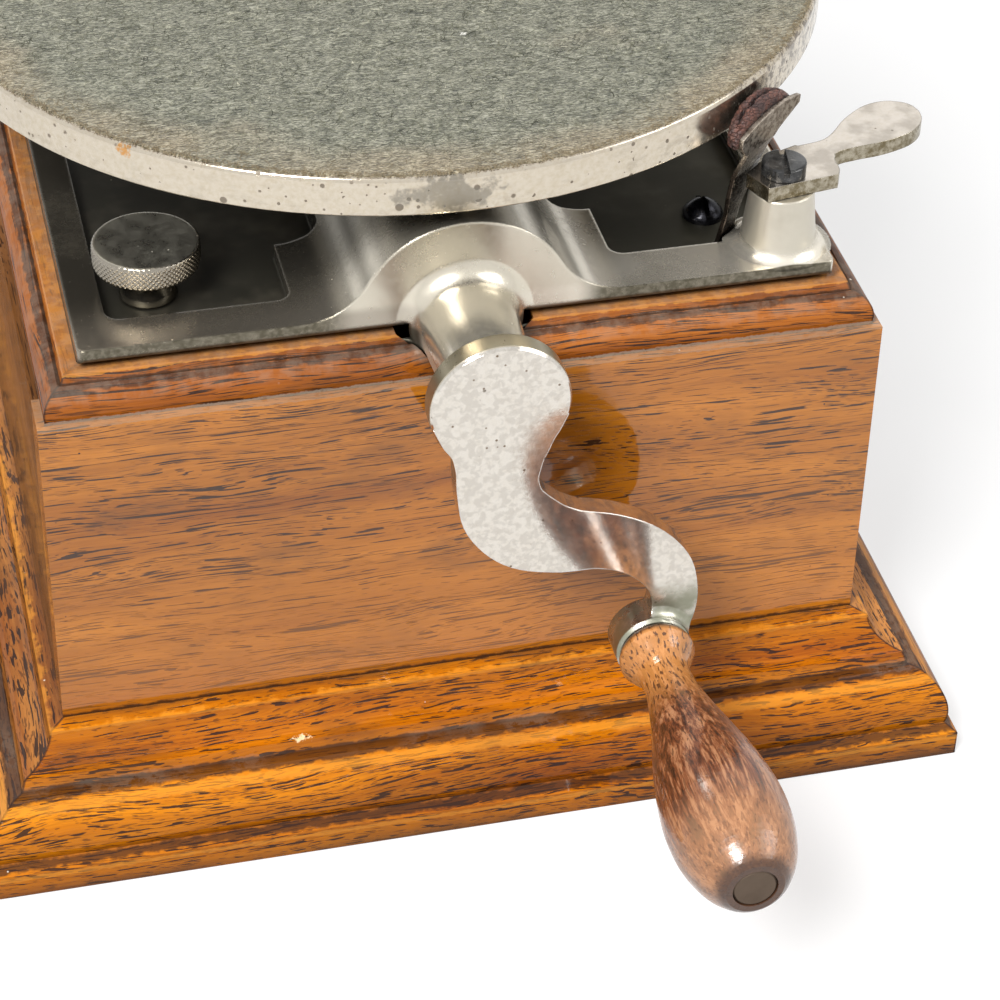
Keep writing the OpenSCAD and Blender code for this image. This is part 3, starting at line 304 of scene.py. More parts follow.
def oak(name, along, tone, pores, seed, shade_and_dirt=0.5, coat=0.9, mitre=False, extra=None):
    """Varnished oak with its grain along x or y.

    extra(g, colour) gives the worn colour, with painted shade, highlights and reflection where it
    has them, and the dust that dulls the varnish.
    """
    g = Graph(name)
    turn = (0, 0, 0) if along == "x" else (0, 0, 90)
    shift = (seed * 31.0, seed * 17.0, seed * 11.0)
    sway = g.noise(g.place((0.012, 0.05, 0.05), turn, shift), 1, 2)
    offset = g.node("ShaderNodeCombineXYZ", {"X": 0.0, "Y": g.span(sway, 0, 1, -1, 1),
        "Z": g.span(sway, 0, 1, -1.6, 1.6)}).outputs[0]

    def drawn(x, across):
        """Coordinates drawn out along the grain, which sways."""
        bent = g.node("ShaderNodeVectorMath", operation="MULTIPLY_ADD")
        g.wire(bent.inputs[0], offset)
        g.wire(bent.inputs[1], (across * 3.0,) * 3)
        g.wire(bent.inputs[2], g.place((x, across, across), turn, shift))
        return bent.outputs[0]

    def dashes(long, thin, detail, rough, low, high):
        """Marks along the grain, at a multiple of the pores' 1 / length and 1 / width."""
        drawn_out = g.noise(drawn(length * long, width * thin), 1, detail, rough)
        return g.span(g.sum(drawn_out, cluster), level + low, level + high)

    bands = g.noise(drawn(0.006, 0.09), 1, 3, 0.55)
    fibre = g.noise(drawn(0.03, 2.6), 1, 3, 0.6)
    body = g.ramp(g.sum(g.times(bands, 0.75), g.times(fibre, 0.25)), (0.36, tone[2]),
        (0.5, tone[1]), (0.66, tone[0]))
    cluster = g.span(g.noise(drawn(0.012, 0.13), 1, 2), 0.36, 0.66, -0.035, 0.03)
    length, width, level = pores
    lines = dashes(1, 1, 1.5, 0.45, 0, 0.016)
    ticks = dashes(2.6, 1.8, 1, 0.4, 0.01, 0.04)
    haze = dashes(0.6, 0.8, 2, 0.5, -0.07, 0.03)
    pore = g.most(lines, g.times(ticks, 0.6))
    colour = g.mix(g.times(haze, 0.2), body, [c * 0.45 for c in tone[1]])
    colour = g.mix(g.times(pore, 0.92), colour, PORE)
    blots = g.noise(g.place((0.035, 0.08, 0.08), turn, shift), 1, 4, 0.6)
    colour = g.mix(g.span(blots, 0.52, 0.74, 0, 0.45), colour, GRIME_AND_SHADE)
    # darker in inner corners: painted shade, with grime
    shut = g.corner_shade_and_dirt(5.0, 0.45, 0.92)
    colour = g.mix(g.times(shut, g.span(blots, 0.3, 0.6, 0.5, 1), shade_and_dirt), colour, GRIME_AND_SHADE)
    if mitre:
        x, y, _ = g.axes()
        off = g.less(g.absolute(x), g.absolute(y), CASE_HX - CASE_HY)
        gap = g.span(g.absolute(off), 0.5, 0.15)
        colour = g.mix(g.times(gap, 0.75), colour, PORE)
    specks = g.times(speckle(g, 3.4, 0.10, 0.075, seed), g.upward())
    dusty = g.times(specks, 0.9)
    if extra is not None:
        colour, laid = extra(g, colour)
        dusty = g.most(dusty, laid)
    colour = g.mix(dusty, colour, g.mix(specks, DUST, PALE_DUST))
    varnish = g.bump(g.noise(g.place((0.1, 0.16, 0.16), turn, shift), 1, 3, 0.5), 0.06)
    sunk = g.bump(pore, -0.05, varnish)
    worn = g.span(g.noise(g.at, 0.3, 3, 0.6), 0.35, 0.7, 0.03, 0.07)
    return g.finish(Base_Color=colour, Roughness=0.6, Specular_IOR_Level=0.0, Normal=sunk,
        Coat_Normal=g.bump(pore, -0.012, varnish), Coat_Weight=g.times(g.less(1.0, dusty), coat),
        Coat_Roughness=worn, Coat_IOR=1.62)


def dust_line(g, level, reach, strength, pitch=2.2):
    """Dust lying within reach millimetres of a height, ragged along its edges."""
    off = g.absolute(g.less(g.axes()[2], level))
    uneven = g.noise(g.at, 1 / pitch, 5, 0.7)
    ragged = g.span(uneven, 0.25, 0.75, -reach * 0.5, reach * 0.5)
    return g.times(g.span(g.sum(off, ragged), reach, reach * 0.45),
        g.span(uneven, 0.3, 0.5, 0.55, 1.0), strength)


def run_lines(g, colour, top, recesses, ridges):
    """Painted shade in a moulding's recesses, and painted highlights with wear on its ridges
    beside them.
    """
    z = g.axes()[2]
    ragged = g.span(g.noise(g.at, 0.35, 3, 0.6), 0.3, 0.7, -0.2, 0.2)

    def bands(levels):
        return g.most(*[g.span(g.sum(g.absolute(g.less(z, top - below)), ragged), half, half * 0.4)
            for below, half in levels])

    # lighter ridges: painted highlight, with wear
    colour = g.mix(g.times(bands(ridges), 0.42), colour, RIDGE_HIGHLIGHT_AND_WEAR)
    # dark recesses: painted shade
    return g.mix(g.times(bands(recesses), 0.8), colour, RECESS_SHADE)


def panel_wear_and_reflection(g, colour):
    """Worm holes near the panel's ends, a painted reflection of the orange base moulding at its
    foot, a dark line at the joint, and dust at the top.
    """
    x, _, z = g.axes()
    ends = g.span(g.absolute(x), CASE_HX - 26, CASE_HX - 4)
    patch = g.span(g.noise(g.at, 0.06, 2), 0.42, 0.55)
    holes = speckle(g, 2.6, 0.5, 0.17, 3.0, g.times(ends, patch))
    colour = g.mix(holes, colour, PORE)
    # warmer towards the foot: painted reflection of the orange base moulding in the varnish
    colour = g.mix(g.span(z, 72, BASE_TOP + 2, 0, 0.3), colour, BASE_MOULDING_REFLECTION)
    ragged = g.span(g.noise(g.at, 0.4, 3), 0.3, 0.7, -0.25, 0.25)
    foot = g.span(g.sum(z, ragged), BASE_TOP + 1.0, BASE_TOP + 0.35)
    return g.mix(g.times(foot, 0.9), colour, PORE), dust_line(g, PANEL_H - 0.1, 0.4, 0.35)


def top_wear_and_painted_light(g, colour):
    """Painted shade in the recess and painted highlights on the ridge, a rubbed ledge, a film of
    dust on it, and dust where the moulding meets the panel.
    """
    colour = run_lines(g, colour, TOP_Z, TOP_RECESSES, TOP_RIDGES)
    ledge = g.span(g.axes()[2], TOP_Z - 0.5, TOP_Z - 0.1)
    colour = g.mix(g.times(ledge, 0.55), colour, RUBBED)
    film = g.times(g.upward(), g.span(g.noise(g.at, 0.25, 4, 0.65), 0.35, 0.65, 0.03, 0.2))
    return g.mix(film, colour, DUST), dust_line(g, PANEL_H + 0.25, 0.5, 0.6)


def base_wear_and_painted_light(g, colour):
    """Painted shade in the recesses, painted highlights on the ridges, grey grime in the cove, and
    two cream chips in the front moulding.
    """
    patch = g.span(g.noise(g.at, 0.05, 2), 0.45, 0.6)
    cove = g.times(dust_line(g, BASE_TOP - COVE_DEPTH, 0.7, 0.15), patch)
    colour = run_lines(g, colour, BASE_TOP, BASE_RECESSES, BASE_RIDGES)
    chips = g.most(*[g.spot(at, size, (0.45, 1, 1)) for at, size in CHIPS])
    return g.mix(chips, colour, CREAM), cove


# ---- metal ----

FRECKLE = (0.13, 0.10, 0.07)
RIM_RUST = ((-58.6, -66.9, 138.8), 1.6)
# a painted reflection of the crank's hub on the rim: centre, size and stretch
RIM_HUB_REFLECTION = ((-4.2, -88.8, 136.0), 4.2, (0.45, 1, 1))
# heights on the crank: the hub's foot, and where the arm gives way to the handle's seat
HUB_FOOT = 84
SEAT_Z = (62, 55)
# where one part of the motor plate gives way to the next, from and to
POCKET_Z = (107.2, 105.8)
RAISED_Z = (109.2, 111.5)
NOSE_Y, NOSE_X = (-86.5, -89.5), (34, 22)
# where the turntable's painted shadow on the plate fades in, from and to
TURNTABLE_SHADOW_Y, TURNTABLE_SHADOW_X = (-82, -68), (6, -12)
POST_X = (45, 50)
# where the painted shade along the plate's front edge fades in away from the boss, from and to
FRONT_SHADE_X = (20, 27)
# heights over which the brake's strip widens into its leaf
LEAF_Z = (124, 131)


def plated(name, tint, rough=(0.08, 0.2), share=0.25, size=0.2, mottle=0.35, extra=None):
    """Old nickel plate: mottled, with fine pits, brown freckles and a faint haze.

    extra(g, colour, patchy) gives the worn colour, with a painted reflection where it has one, and
    how much duller it is.
    """
    g = Graph(name)
    fine = g.noise(g.at, 0.9, 4, 0.65)
    broad = g.noise(g.at, 0.07, 3, 0.6)
    patchy = g.span(g.noise(g.at, 0.045, 3, 0.6), 0.38, 0.62, 0.15, 1)
    pits = speckle(g, 1.5, share, size, 1.0, patchy)
    rust = speckle(g, 3.6, share * 0.8, size * 0.7, 7.0, patchy)
    spots = g.most(pits, rust)
    yellowed = [c * k for c, k in zip(tint, (0.84, 0.80, 0.72))]
    colour = g.mix(g.span(fine, 0.35, 0.75, 0, mottle), tint, yellowed)
    colour = g.mix(g.times(spots, 0.8), colour, FRECKLE)
    dull = 0.0
    if extra is not None:
        colour, dull = extra(g, colour, patchy)
    gloss = g.span(g.sum(g.times(broad, 0.5), g.times(fine, 0.5)), 0.35, 0.68, rough[0], rough[1])
    return g.finish(Base_Color=colour, Metallic=g.span(spots, 0, 1, 0.96, 0.4),
        Roughness=g.sum(gloss, g.times(spots, 0.4), dull),
        Normal=g.bump(g.less(g.times(fine, 0.4), spots), 0.015, g.soft_edges(0.35)))


def rim_wear_and_reflection(g, colour, _):
    """The turntable: bright outside, darker below and inside, with brown blots towards the brake,
    and a painted reflection of the crank's hub.
    """
    x, _, z = g.axes()
    blots = g.span(g.noise(g.place((0.22, 0.22, 0.5)), 1, 4, 0.65), 0.50, 0.66)
    lower = g.span(z, TABLE_TOP - 2, TABLE_LOW.z, 0.25, 1.0)
    right = g.span(x, 0, 60, 0.35, 1.0)
    colour = g.mix(g.times(blots, lower, right, 0.75), colour, (0.20, 0.17, 0.13))
    black = g.times(g.span(g.noise(g.at, 0.5, 4, 0.7), 0.47, 0.6), g.span(x, 48, 58))
    colour = g.mix(g.times(black, 0.7), colour, (0.07, 0.055, 0.045))
    colour = g.mix(g.times(g.spot(*RIM_RUST), 0.8), colour, (0.60, 0.26, 0.03))
    # dark patch: painted reflection of the crank's hub
    colour = g.mix(g.times(g.spot(*RIM_HUB_REFLECTION), 0.65), colour, (0.19, 0.175, 0.145))
    outside = g.span(g.radius(), TABLE_R - 0.8, TABLE_R - 0.4)
    above = g.span(z, TABLE_TOP - 1.2, TABLE_TOP - 0.6)
    return g.mix(g.most(outside, above), (0.13, 0.115, 0.09), colour), 0.0


def arm_wear(g, colour, patchy):
    """The crank: mottled face, brown pits at the hub, dull sides, green-grey handle seat."""
    _, y, z = g.axes()
    clouds = g.span(g.noise(g.at, 0.75, 2, 0.5, 0.4), 0.40, 0.60)
    colour = g.mix(g.times(clouds, 0.5), colour, (0.49, 0.45, 0.40))
    hub = g.span(z, HUB_FOOT, HUB_FOOT + 12, 0.35, 1)
    brown = speckle(g, 1.9, 0.5, 0.17, 11.0, g.times(patchy, hub))
    colour = g.mix(g.times(brown, 0.85), colour, (0.13, 0.075, 0.035))
    side = g.times(g.span(y, CRANK_FACE + 0.4, CRANK_FACE + 0.8),
        g.span(z, HUB_FOOT, HUB_FOOT + 8))
    colour = g.mix(side, colour, (0.44, 0.39, 0.28))
    seat = g.times(g.span(z, *SEAT_Z), g.span(g.noise(g.at, 0.25, 3), 0.35, 0.6, 0.4, 1))
    colour = g.mix(g.times(seat, 0.9), colour, (0.25, 0.255, 0.185))
    return colour, g.sum(g.times(side, 0.22), g.times(seat, 0.3))


def lever_wear(g, colour, _):
    """The brake lever: grey blots on top, yellow-brown along its sides."""
    blots = g.span(g.noise(g.at, 0.16, 3, 0.55), 0.42, 0.62)
    colour = g.mix(g.times(blots, 0.55), colour, (0.22, 0.195, 0.16))
    grain = g.span(g.noise(g.at, 0.6, 4, 0.7), 0.35, 0.65)
    side = g.mix(grain, (0.16, 0.13, 0.075), (0.40, 0.36, 0.28))
    return g.mix(g.upward(), side, colour), g.times(g.less(1.0, g.upward()), 0.1)


def cast_nickel(name):
    """The motor plate: dark dulled nickel, yellower at the boss, with dust specks lying on it,
    painted shade in its pockets, under the turntable and along its front edge, and painted shade
    with grime in its corners.
    """
    g = Graph(name)
    x, y, z = g.axes()
    broad = g.noise(g.at, 0.05, 4, 0.6)
    fine = g.noise(g.at, 0.8, 4, 0.65)
    pocket = g.span(z, *POCKET_Z)
    raised = g.span(z, *RAISED_Z)
    nose = g.times(g.span(y, *NOSE_Y), g.span(g.absolute(x), *NOSE_X))
    post = g.times(raised, g.span(x, *POST_X))
    shade = g.times(g.span(y, *TURNTABLE_SHADOW_Y), g.span(x, *TURNTABLE_SHADOW_X), 0.75)
    front = g.times(g.span(y, EDGE_Y + 0.5, EDGE_Y + 0.1), g.span(g.absolute(x), *FRONT_SHADE_X))
    tint = g.mix(g.span(x, -50, 45), (0.29, 0.255, 0.205), (0.80, 0.745, 0.64))
    # darker in the pockets: painted shade under the turntable
    tint = g.mix(pocket, tint, (0.085, 0.080, 0.060))
    tint = g.mix(g.most(raised, nose), tint, (0.62, 0.575, 0.48))
    # painted shadow of the turntable on the ridge behind the boss
    tint = g.mix(shade, tint, (0.06, 0.055, 0.042))
    tint = g.mix(post, tint, (0.58, 0.54, 0.455))
    tint = g.mix(g.span(broad, 0.45, 0.75, 0, 0.5), tint, (0.27, 0.24, 0.18))
    # darker front edge beside the boss: painted shade on its rounded face
    edge = g.mix(g.span(fine, 0.35, 0.65), (0.10, 0.088, 0.06), (0.20, 0.178, 0.135))
    tint = g.mix(front, tint, edge)
    # near black in inner corners: painted shade, with grime
    tint = g.mix(g.times(g.corner_shade_and_dirt(3.0, 0.3, 0.75), 0.7), tint, (0.035, 0.03, 0.022))
    specks = speckle(g, 2.6, 0.22, 0.07)
    pits = speckle(g, 1.9, 0.2, 0.12, 5.0, g.span(broad, 0.4, 0.6))
    colour = g.mix(g.times(pits, 0.6), tint, (0.06, 0.05, 0.04))
    colour = g.mix(g.times(specks, 0.8), colour, (0.62, 0.52, 0.38))
    gloss = g.span(g.sum(g.times(broad, 0.6), g.times(fine, 0.4)), 0.35, 0.7, 0.20, 0.32)
    rough = g.sum(gloss, g.times(nose, -0.04), g.times(post, 0.12), g.times(pocket, 0.2),
        g.times(specks, 0.4))
    uneven = g.sum(g.times(fine, 0.15), g.times(broad, 1.5), specks)
    return g.finish(Base_Color=colour, Metallic=g.span(specks, 0, 1, 0.82, 0), Roughness=rough,
        Normal=g.bump(uneven, 0.02, g.soft_edges(0.8)))


def turned_metal(name, tint, rough=0.25, grime=0.3):
    """Plain workshop metal of the hidden works: fine scratches, oil stains and grime."""
    g = Graph(name)
    fine = g.noise(g.place((0.3, 2.5, 0.3)), 1, 3, 0.6)
    broad = g.noise(g.at, 0.12, 3, 0.6)
    colour = g.mix(g.span(broad, 0.4, 0.75, 0, grime), tint, [c * 0.45 for c in tint])
    return g.finish(Base_Color=colour, Metallic=1.0,
        Roughness=g.span(fine, 0.3, 0.7, rough * 0.8, rough * 1.5), Normal=g.bump(fine, 0.01))


def painted_iron(name):
    """Black paint on a rough casting."""
    g = Graph(name)
    grain = g.noise(g.at, 1.3, 3, 0.6)
    broad = g.noise(g.at, 0.08, 3)
    colour = g.mix(g.span(broad, 0.4, 0.7), (0.045, 0.046, 0.05), (0.085, 0.083, 0.08))
    return g.finish(Base_Color=colour, Roughness=g.span(grain, 0.3, 0.7, 0.35, 0.6),
        Normal=g.bump(grain, 0.08))


def dark_steel(name, tint, worn, metallic=0.85):
    """Blued or lacquered steel with pale scratches."""
    g = Graph(name)
    broad = g.noise(g.at, 0.35, 3, 0.6)
    scratch = g.noise(g.place((0.4, 3.0, 3.0), (0, 0, 30)), 1, 3, 0.6)
    colour = g.mix(g.span(broad, 0.35, 0.7), tint, [c * 2.6 for c in tint])
    colour = g.mix(g.span(scratch, 0.60, 0.75, 0, 0.6), colour, worn)
    return g.finish(Base_Color=colour, Metallic=metallic,
        Roughness=g.span(broad, 0.3, 0.7, 0.14, 0.34), Normal=g.bump(scratch, 0.01))


def strip_bronze():
    """The brake's strip: nearly black below, blued and with painted shade, bronze-grey on the leaf
    that carries the pad.
    """
    g = Graph("strip_bronze")
    grain = g.noise(g.at, 0.9, 4, 0.65)
    # nearly black stem: blued steel, darkened further as painted shade
    stem = g.mix(grain, (0.018, 0.013, 0.010), (0.05, 0.038, 0.03))
    leaf = g.mix(g.span(grain, 0.35, 0.65), (0.19, 0.15, 0.115), (0.40, 0.35, 0.29))
    return g.finish(Base_Color=g.mix(g.span(g.axes()[2], *LEAF_Z), stem, leaf), Metallic=0.85,
        Roughness=g.span(grain, 0.3, 0.7, 0.2, 0.36),
        Normal=g.bump(grain, 0.04, g.soft_edges(0.3)))


# ---- felt, leather and the handle's wood ----

LINT = (9.2, -40.7)


def felt_material():
    """Grey-green cloth, worn brown towards its edge, with one piece of white lint."""
    g = Graph("felt_cloth")
    broad = g.noise(g.at, 0.035, 3, 0.55)
    blotch = g.noise(g.at, 0.25, 3, 0.6)
    fuzz = g.times(*[g.noise(g.remap(g.at, (0.6, 3.4, 1), (0, 0, turn)), 1, 3, 0.7, 1.8)
        for turn in (28, -40)])
    worn = g.times(g.span(g.radius(), 70, 87), g.span(broad, 0.3, 0.65, 0.4, 1))
    shade = g.sum(g.times(fuzz, 2.4), g.times(blotch, 0.3))
    green = g.ramp(shade, (0.50, (0.016, 0.018, 0.010)), (0.72, (0.104, 0.106, 0.064)),
        (0.92, (0.45, 0.44, 0.34)))
    brown = g.ramp(shade, (0.50, (0.028, 0.020, 0.008)), (0.72, (0.22, 0.172, 0.098)),
        (0.92, (0.60, 0.51, 0.35)))
    faded = g.span(g.sum(worn, g.span(broad, 0.5, 0.75, 0, 0.5)), 0.1, 1.0, 0, 0.85)
    lint = g.spot((*LINT, FELT_HIGH.z), 0.7, (1, 1, 0))
    colour = g.mix(lint, g.mix(faded, green, brown), (0.85, 0.83, 0.75))
    return g.finish(Base_Color=colour, Roughness=0.95, Sheen_Weight=0.2, Sheen_Roughness=0.5,
        Specular_IOR_Level=0.15, Normal=g.bump(g.sum(fuzz, g.times(blotch, 0.5)), 0.5))


def fibre_material():
    """The felt's loose fibres: dark to pale, browner towards the edge."""
    g = Graph("felt_fibres")
    patch = g.noise(g.at, 0.5, 2)
    colour = g.ramp(patch, (0.35, (0.03, 0.03, 0.02)), (0.55, (0.17, 0.17, 0.12)),
        (0.7, (0.56, 0.54, 0.42)))
    colour = g.mix(g.span(g.radius(), 78, 88, 0, 0.8), colour, (0.26, 0.20, 0.12))
    return g.finish(Base_Color=colour, Roughness=0.8, Specular_IOR_Level=0.2)


def leather_material():
    """Old red-brown leather: creased, scuffed paler, with painted shade black in its cracks."""
    g = Graph("pad_leather")
    fold = g.cells(g.place((0.7, 1.1, 1.5)), 1.0, "DISTANCE_TO_EDGE").outputs["Distance"]
    grain = g.noise(g.at, 2.4, 4, 0.65)
    broad = g.noise(g.at, 0.4, 3, 0.6)
    colour = g.mix(g.span(broad, 0.35, 0.65), (0.035, 0.013, 0.011), (0.13, 0.046, 0.030))
    colour = g.mix(g.span(grain, 0.52, 0.75, 0, 0.6), colour, (0.26, 0.15, 0.11))
    colour = g.mix(g.span(fold, 0.05, 0.0, 0, 0.7), colour, (0.03, 0.012, 0.01))
    # near black in the crack and tight corners: painted shade
    colour = g.mix(g.times(g.corner_shade_and_dirt(1.4, 0.3, 0.8), 0.95), colour, (0.006, 0.003, 0.003))
    return g.finish(Base_Color=colour, Roughness=g.span(grain, 0.3, 0.7, 0.35, 0.65),
        Normal=g.bump(g.sum(g.span(fold, 0.0, 0.1), g.times(grain, 0.8)), 0.3))


def handle_material():
    """Figured hardwood under old polish: streaks along the grip, dark flecks on a pale neck."""
    g = Graph("handle_hardwood")
    axis_x, _, axis_z = halfway(HANDLE_LOW, HANDLE_HIGH)
    at = g.place(shift=(-axis_x, -HANDLE_HIGH.y, -axis_z))
    along = g.axes(at)[1]
    streaks = g.noise(g.remap(at, (0.42, 0.03, 0.42), (7, 0, 11)), 1, 4, 0.65, 0.8)
    figure = g.noise(g.remap(at, (0.6, 0.1, 0.6)), 1, 3, 0.6, 1.4)
    hair = g.noise(g.remap(at, (2.6, 0.12, 2.6)), 1, 3, 0.6, 0.4)
    fleck = g.noise(g.remap(at, (1.7, 0.38, 1.7)), 1, 1.5, 0.5, 0.3)
    dark, red, tan = (0.018, 0.005, 0.002), (0.16, 0.046, 0.016), (0.40, 0.185, 0.088)
    grain = g.sum(g.times(streaks, 0.5), g.times(figure, 0.25), g.times(hair, 0.25))
    body = g.ramp(grain, (0.42, dark), (0.50, red), (0.58, tan))
    neck = g.span(along, -25, -9)
    colour = g.mix(g.times(neck, 0.6), body, (0.62, 0.265, 0.065))
    pale_end = g.span(along, -44, -58)
    colour = g.mix(g.times(pale_end, 0.45), colour, (0.52, 0.26, 0.12))
    flecks = g.times(g.span(fleck, 0.56, 0.64), g.span(along, -58, -20, 0.45, 1.0))
    colour = g.mix(g.times(flecks, 0.85), colour, (0.045, 0.014, 0.006))
    ends = g.sum(g.span(along, -62.2, -64.4), g.span(along, -2.2, -0.8))
    colour = g.mix(g.times(ends, 0.85), colour, (0.03, 0.012, 0.007))
    wavy = g.noise(g.at, 0.25, 3, 0.6)
    return g.finish(Base_Color=colour, Roughness=0.5, Specular_IOR_Level=0.2, Coat_Weight=0.9,
        Coat_Roughness=g.span(g.noise(g.at, 0.12, 3, 0.6), 0.35, 0.65, 0.08, 0.35),
        Normal=g.bump(g.less(wavy, flecks), 0.08),
        Coat_Normal=g.bump(g.less(wavy, g.times(hair, 0.15)), 0.12))


# ---- meshes ----

def mesh_object(name, verts, faces, material):
    mesh = bpy.data.meshes.new(name)
    mesh.from_pydata([tuple(v) for v in verts], [], [tuple(int(i) for i in f) for f in faces])
    mesh.materials.append(material)
    mesh.polygons.foreach_set("use_smooth", [True] * len(mesh.polygons))
    mesh.update()
    made = bpy.data.objects.new(name, mesh)
    bpy.context.scene.collection.objects.link(made)
    return made


def ring_faces(rings, sides):
    """Quads between rings of sides points each, closed round."""
    faces = []
    for i in range(rings - 1):
        for j in range(sides):
            k = (j + 1) % sides
            faces.append((i * sides + j, i * sides + k, (i + 1) * sides + k, (i + 1) * sides + j))
    return faces


def noise_at(points, scale, seed=0.0):
    """Blender's own noise at each point, as an array."""
    return np.array([noise.noise(Vector(p) * scale + Vector((seed, seed * 2, 0))) for p in points])


FELT_R = TABLE_R - 0.45
FELT_HOLE = 4.3
FELT_SIDES = 540
LYING_FIBRES = 15000
FRINGE_FIBRES = 7000
FIBRE_POINTS = 4


def make_felt(material):
    """Felt disc with a soft uneven face, pressed down over the turntable's lip."""
    angle = np.arange(FELT_SIDES) * 2 * math.pi / FELT_SIDES
    ragged = 0.16 * noise_at(np.c_[np.cos(angle), np.sin(angle), 0 * angle], 55)
    top = FELT_HIGH.z
    lip = TABLE_TOP + 0.04
    # rings of radius and height, with 1 where the edge is ragged
    rows = [(FELT_HOLE, FELT_LOW.z, 0), (FELT_HOLE, top - 0.3, 0), (FELT_HOLE + 0.4, top, 0)]
    rows += [(r, top, 0) for r in np.arange(6.0, FELT_R - 1.4, 1.0)]
    for turn in np.linspace(0, 90, 7):
        a = math.radians(turn)
        rows.append((FELT_R - 1.1 + 0.95 * math.sin(a),
            top - (top - lip + 0.35) * (1 - math.cos(a)), 1))
    rows += [(FELT_R - 1.7, lip - 0.5, 0), (FELT_R - 1.7, FELT_LOW.z + 0.02, 0),
        (FELT_HOLE, FELT_LOW.z, 0)]
    points = []
    for r, z, edge in rows:
        radius = r + edge * ragged
        points.append(np.c_[radius * np.cos(angle), radius * np.sin(angle),
            np.full(FELT_SIDES, z)])
    points = np.concatenate(points)
    lumps = 0.10 * noise_at(points, 0.16, 3) + 0.05 * noise_at(points, 0.8, 9)
    upper = points[:, 2] > top - 0.05
    points[:, 2] += np.where(upper, lumps - 0.1, 0)
    faces = ring_faces(len(rows), FELT_SIDES)
    felt = mesh_object("turntable_felt_cloth", points * MM, faces, material)
    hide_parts("turntable_felt")
    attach(felt, "platter")


def make_fibres(material):
    """Loose fibres of the felt: lying on its face, and a fringe that leans out over the edge."""
    rng = np.random.default_rng(7)
    whole = 2 * math.pi
    # radius, angle, heading, length, lift and half width of each
    strands = []
    for _ in range(LYING_FIBRES):
        r = math.sqrt(rng.uniform(0.01, 1)) * (FELT_R - 0.6)
        strands.append((r, rng.uniform(0, whole), rng.uniform(0, whole), rng.uniform(0.9, 3.2),
            rng.uniform(0.03, 0.16), rng.uniform(0.03, 0.06)))
    for _ in range(FRINGE_FIBRES):
        a = rng.uniform(0, whole)
        strands.append((FELT_R - rng.uniform(0.1, 1.6), a, a + rng.normal(0, 0.8),
            rng.uniform(0.4, 1.0), rng.uniform(0.05, 0.4), rng.uniform(0.03, 0.055)))
    verts, faces = [], []
    last = FIBRE_POINTS - 1
    for r, a, way, length, lift, half in strands:
        x, y = r * math.cos(a), r * math.sin(a)
        bend = rng.normal(0, 0.9)
        start = len(verts)
        for k in range(FIBRE_POINTS):
            t = k / last
            turn = way + bend * t
            side = (-math.sin(turn) * half, math.cos(turn) * half)
            z = FELT_HIGH.z - 0.12 + lift * math.sin(math.pi * min(1, t * 0.9 + 0.1))
            verts.append((x - side[0], y - side[1], z))
            verts.append((x + side[0], y + side[1], z + 0.02))
            x += math.cos(turn) * length / last
            y += math.sin(turn) * length / last
        faces += [(start + 2 * k, start + 2 * k + 1, start + 2 * k + 3, start + 2 * k + 2)
            for k in range(last)]
    fuzz = mesh_object("turntable_felt_fibres", np.array(verts) * MM, faces, material)
    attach(fuzz, "platter")


KNURL_TEETH = 62
KNURL_DEPTH = 0.34
KNURL_ROWS = 22
KNOB_STEM_R = 4.9
KNOB_HEAD_H = 4.9


def make_knob(material):
    """Speed knob with a diamond knurl round its edge and a slightly domed polished top."""
    x0, y0, _ = halfway(KNOB_LOW, KNOB_HIGH)
    edge_r = (KNOB_HIGH.x - KNOB_LOW.x) / 2
    stem_r = KNOB_STEM_R
    top, seat = KNOB_HIGH.z, KNOB_LOW.z
    low = top - KNOB_HEAD_H
    sides = KNURL_TEETH * 8
    angle = np.arange(sides) * 2 * math.pi / sides
    # rings of radius and height, with the knurl's share of its full depth
    rows = [(0.01, top, 0), (edge_r * 0.5, top, 0), (edge_r - 1.0, top, 0),
        (edge_r - 0.55, top - 0.06, 0)]
    for k in range(KNURL_ROWS + 1):
        t = k / KNURL_ROWS
        share = 1 - 0.75 * max(0, 1 - t * 9) - 0.75 * max(0, 1 - (1 - t) * 9)
        rows.append((edge_r - 0.32 * (1 - share), top - 0.25 - t * (KNOB_HEAD_H - 0.6), share))
    rows += [(edge_r - 0.9, low + 0.05, 0), (stem_r + 1.2, low, 0), (stem_r + 0.2, low - 0.2, 0),
        (stem_r - 0.2, low - 1.0, 0), (stem_r - 0.15, seat + 3.2, 0),
        (stem_r + 0.05, seat + 1.4, 0), (stem_r + 0.6, seat + 0.1, 0), (stem_r + 0.5, seat, 0),
        (0.01, seat, 0)]
    pitch = 2 * math.pi * edge_r / KNURL_TEETH
    points = []
    for r, z, share in rows:
        u = angle * KNURL_TEETH / (2 * math.pi)
        v = (z - low) / pitch
        ridge = np.maximum(np.abs((u + v) % 1 - 0.5), np.abs((u - v) % 1 - 0.5)) * 2
        radius = r - (KNURL_DEPTH * (ridge ** 1.3) if share > 0 else 0) * share
        points.append(np.c_[x0 + radius * np.cos(angle), y0 + radius * np.sin(angle),
            np.full(sides, z)])
    knob = mesh_object("speed_knob_knurled", np.concatenate(points) * MM,
        ring_faces(len(rows), sides), material)
    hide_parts("speed_knob")
    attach(knob, "speed_control")


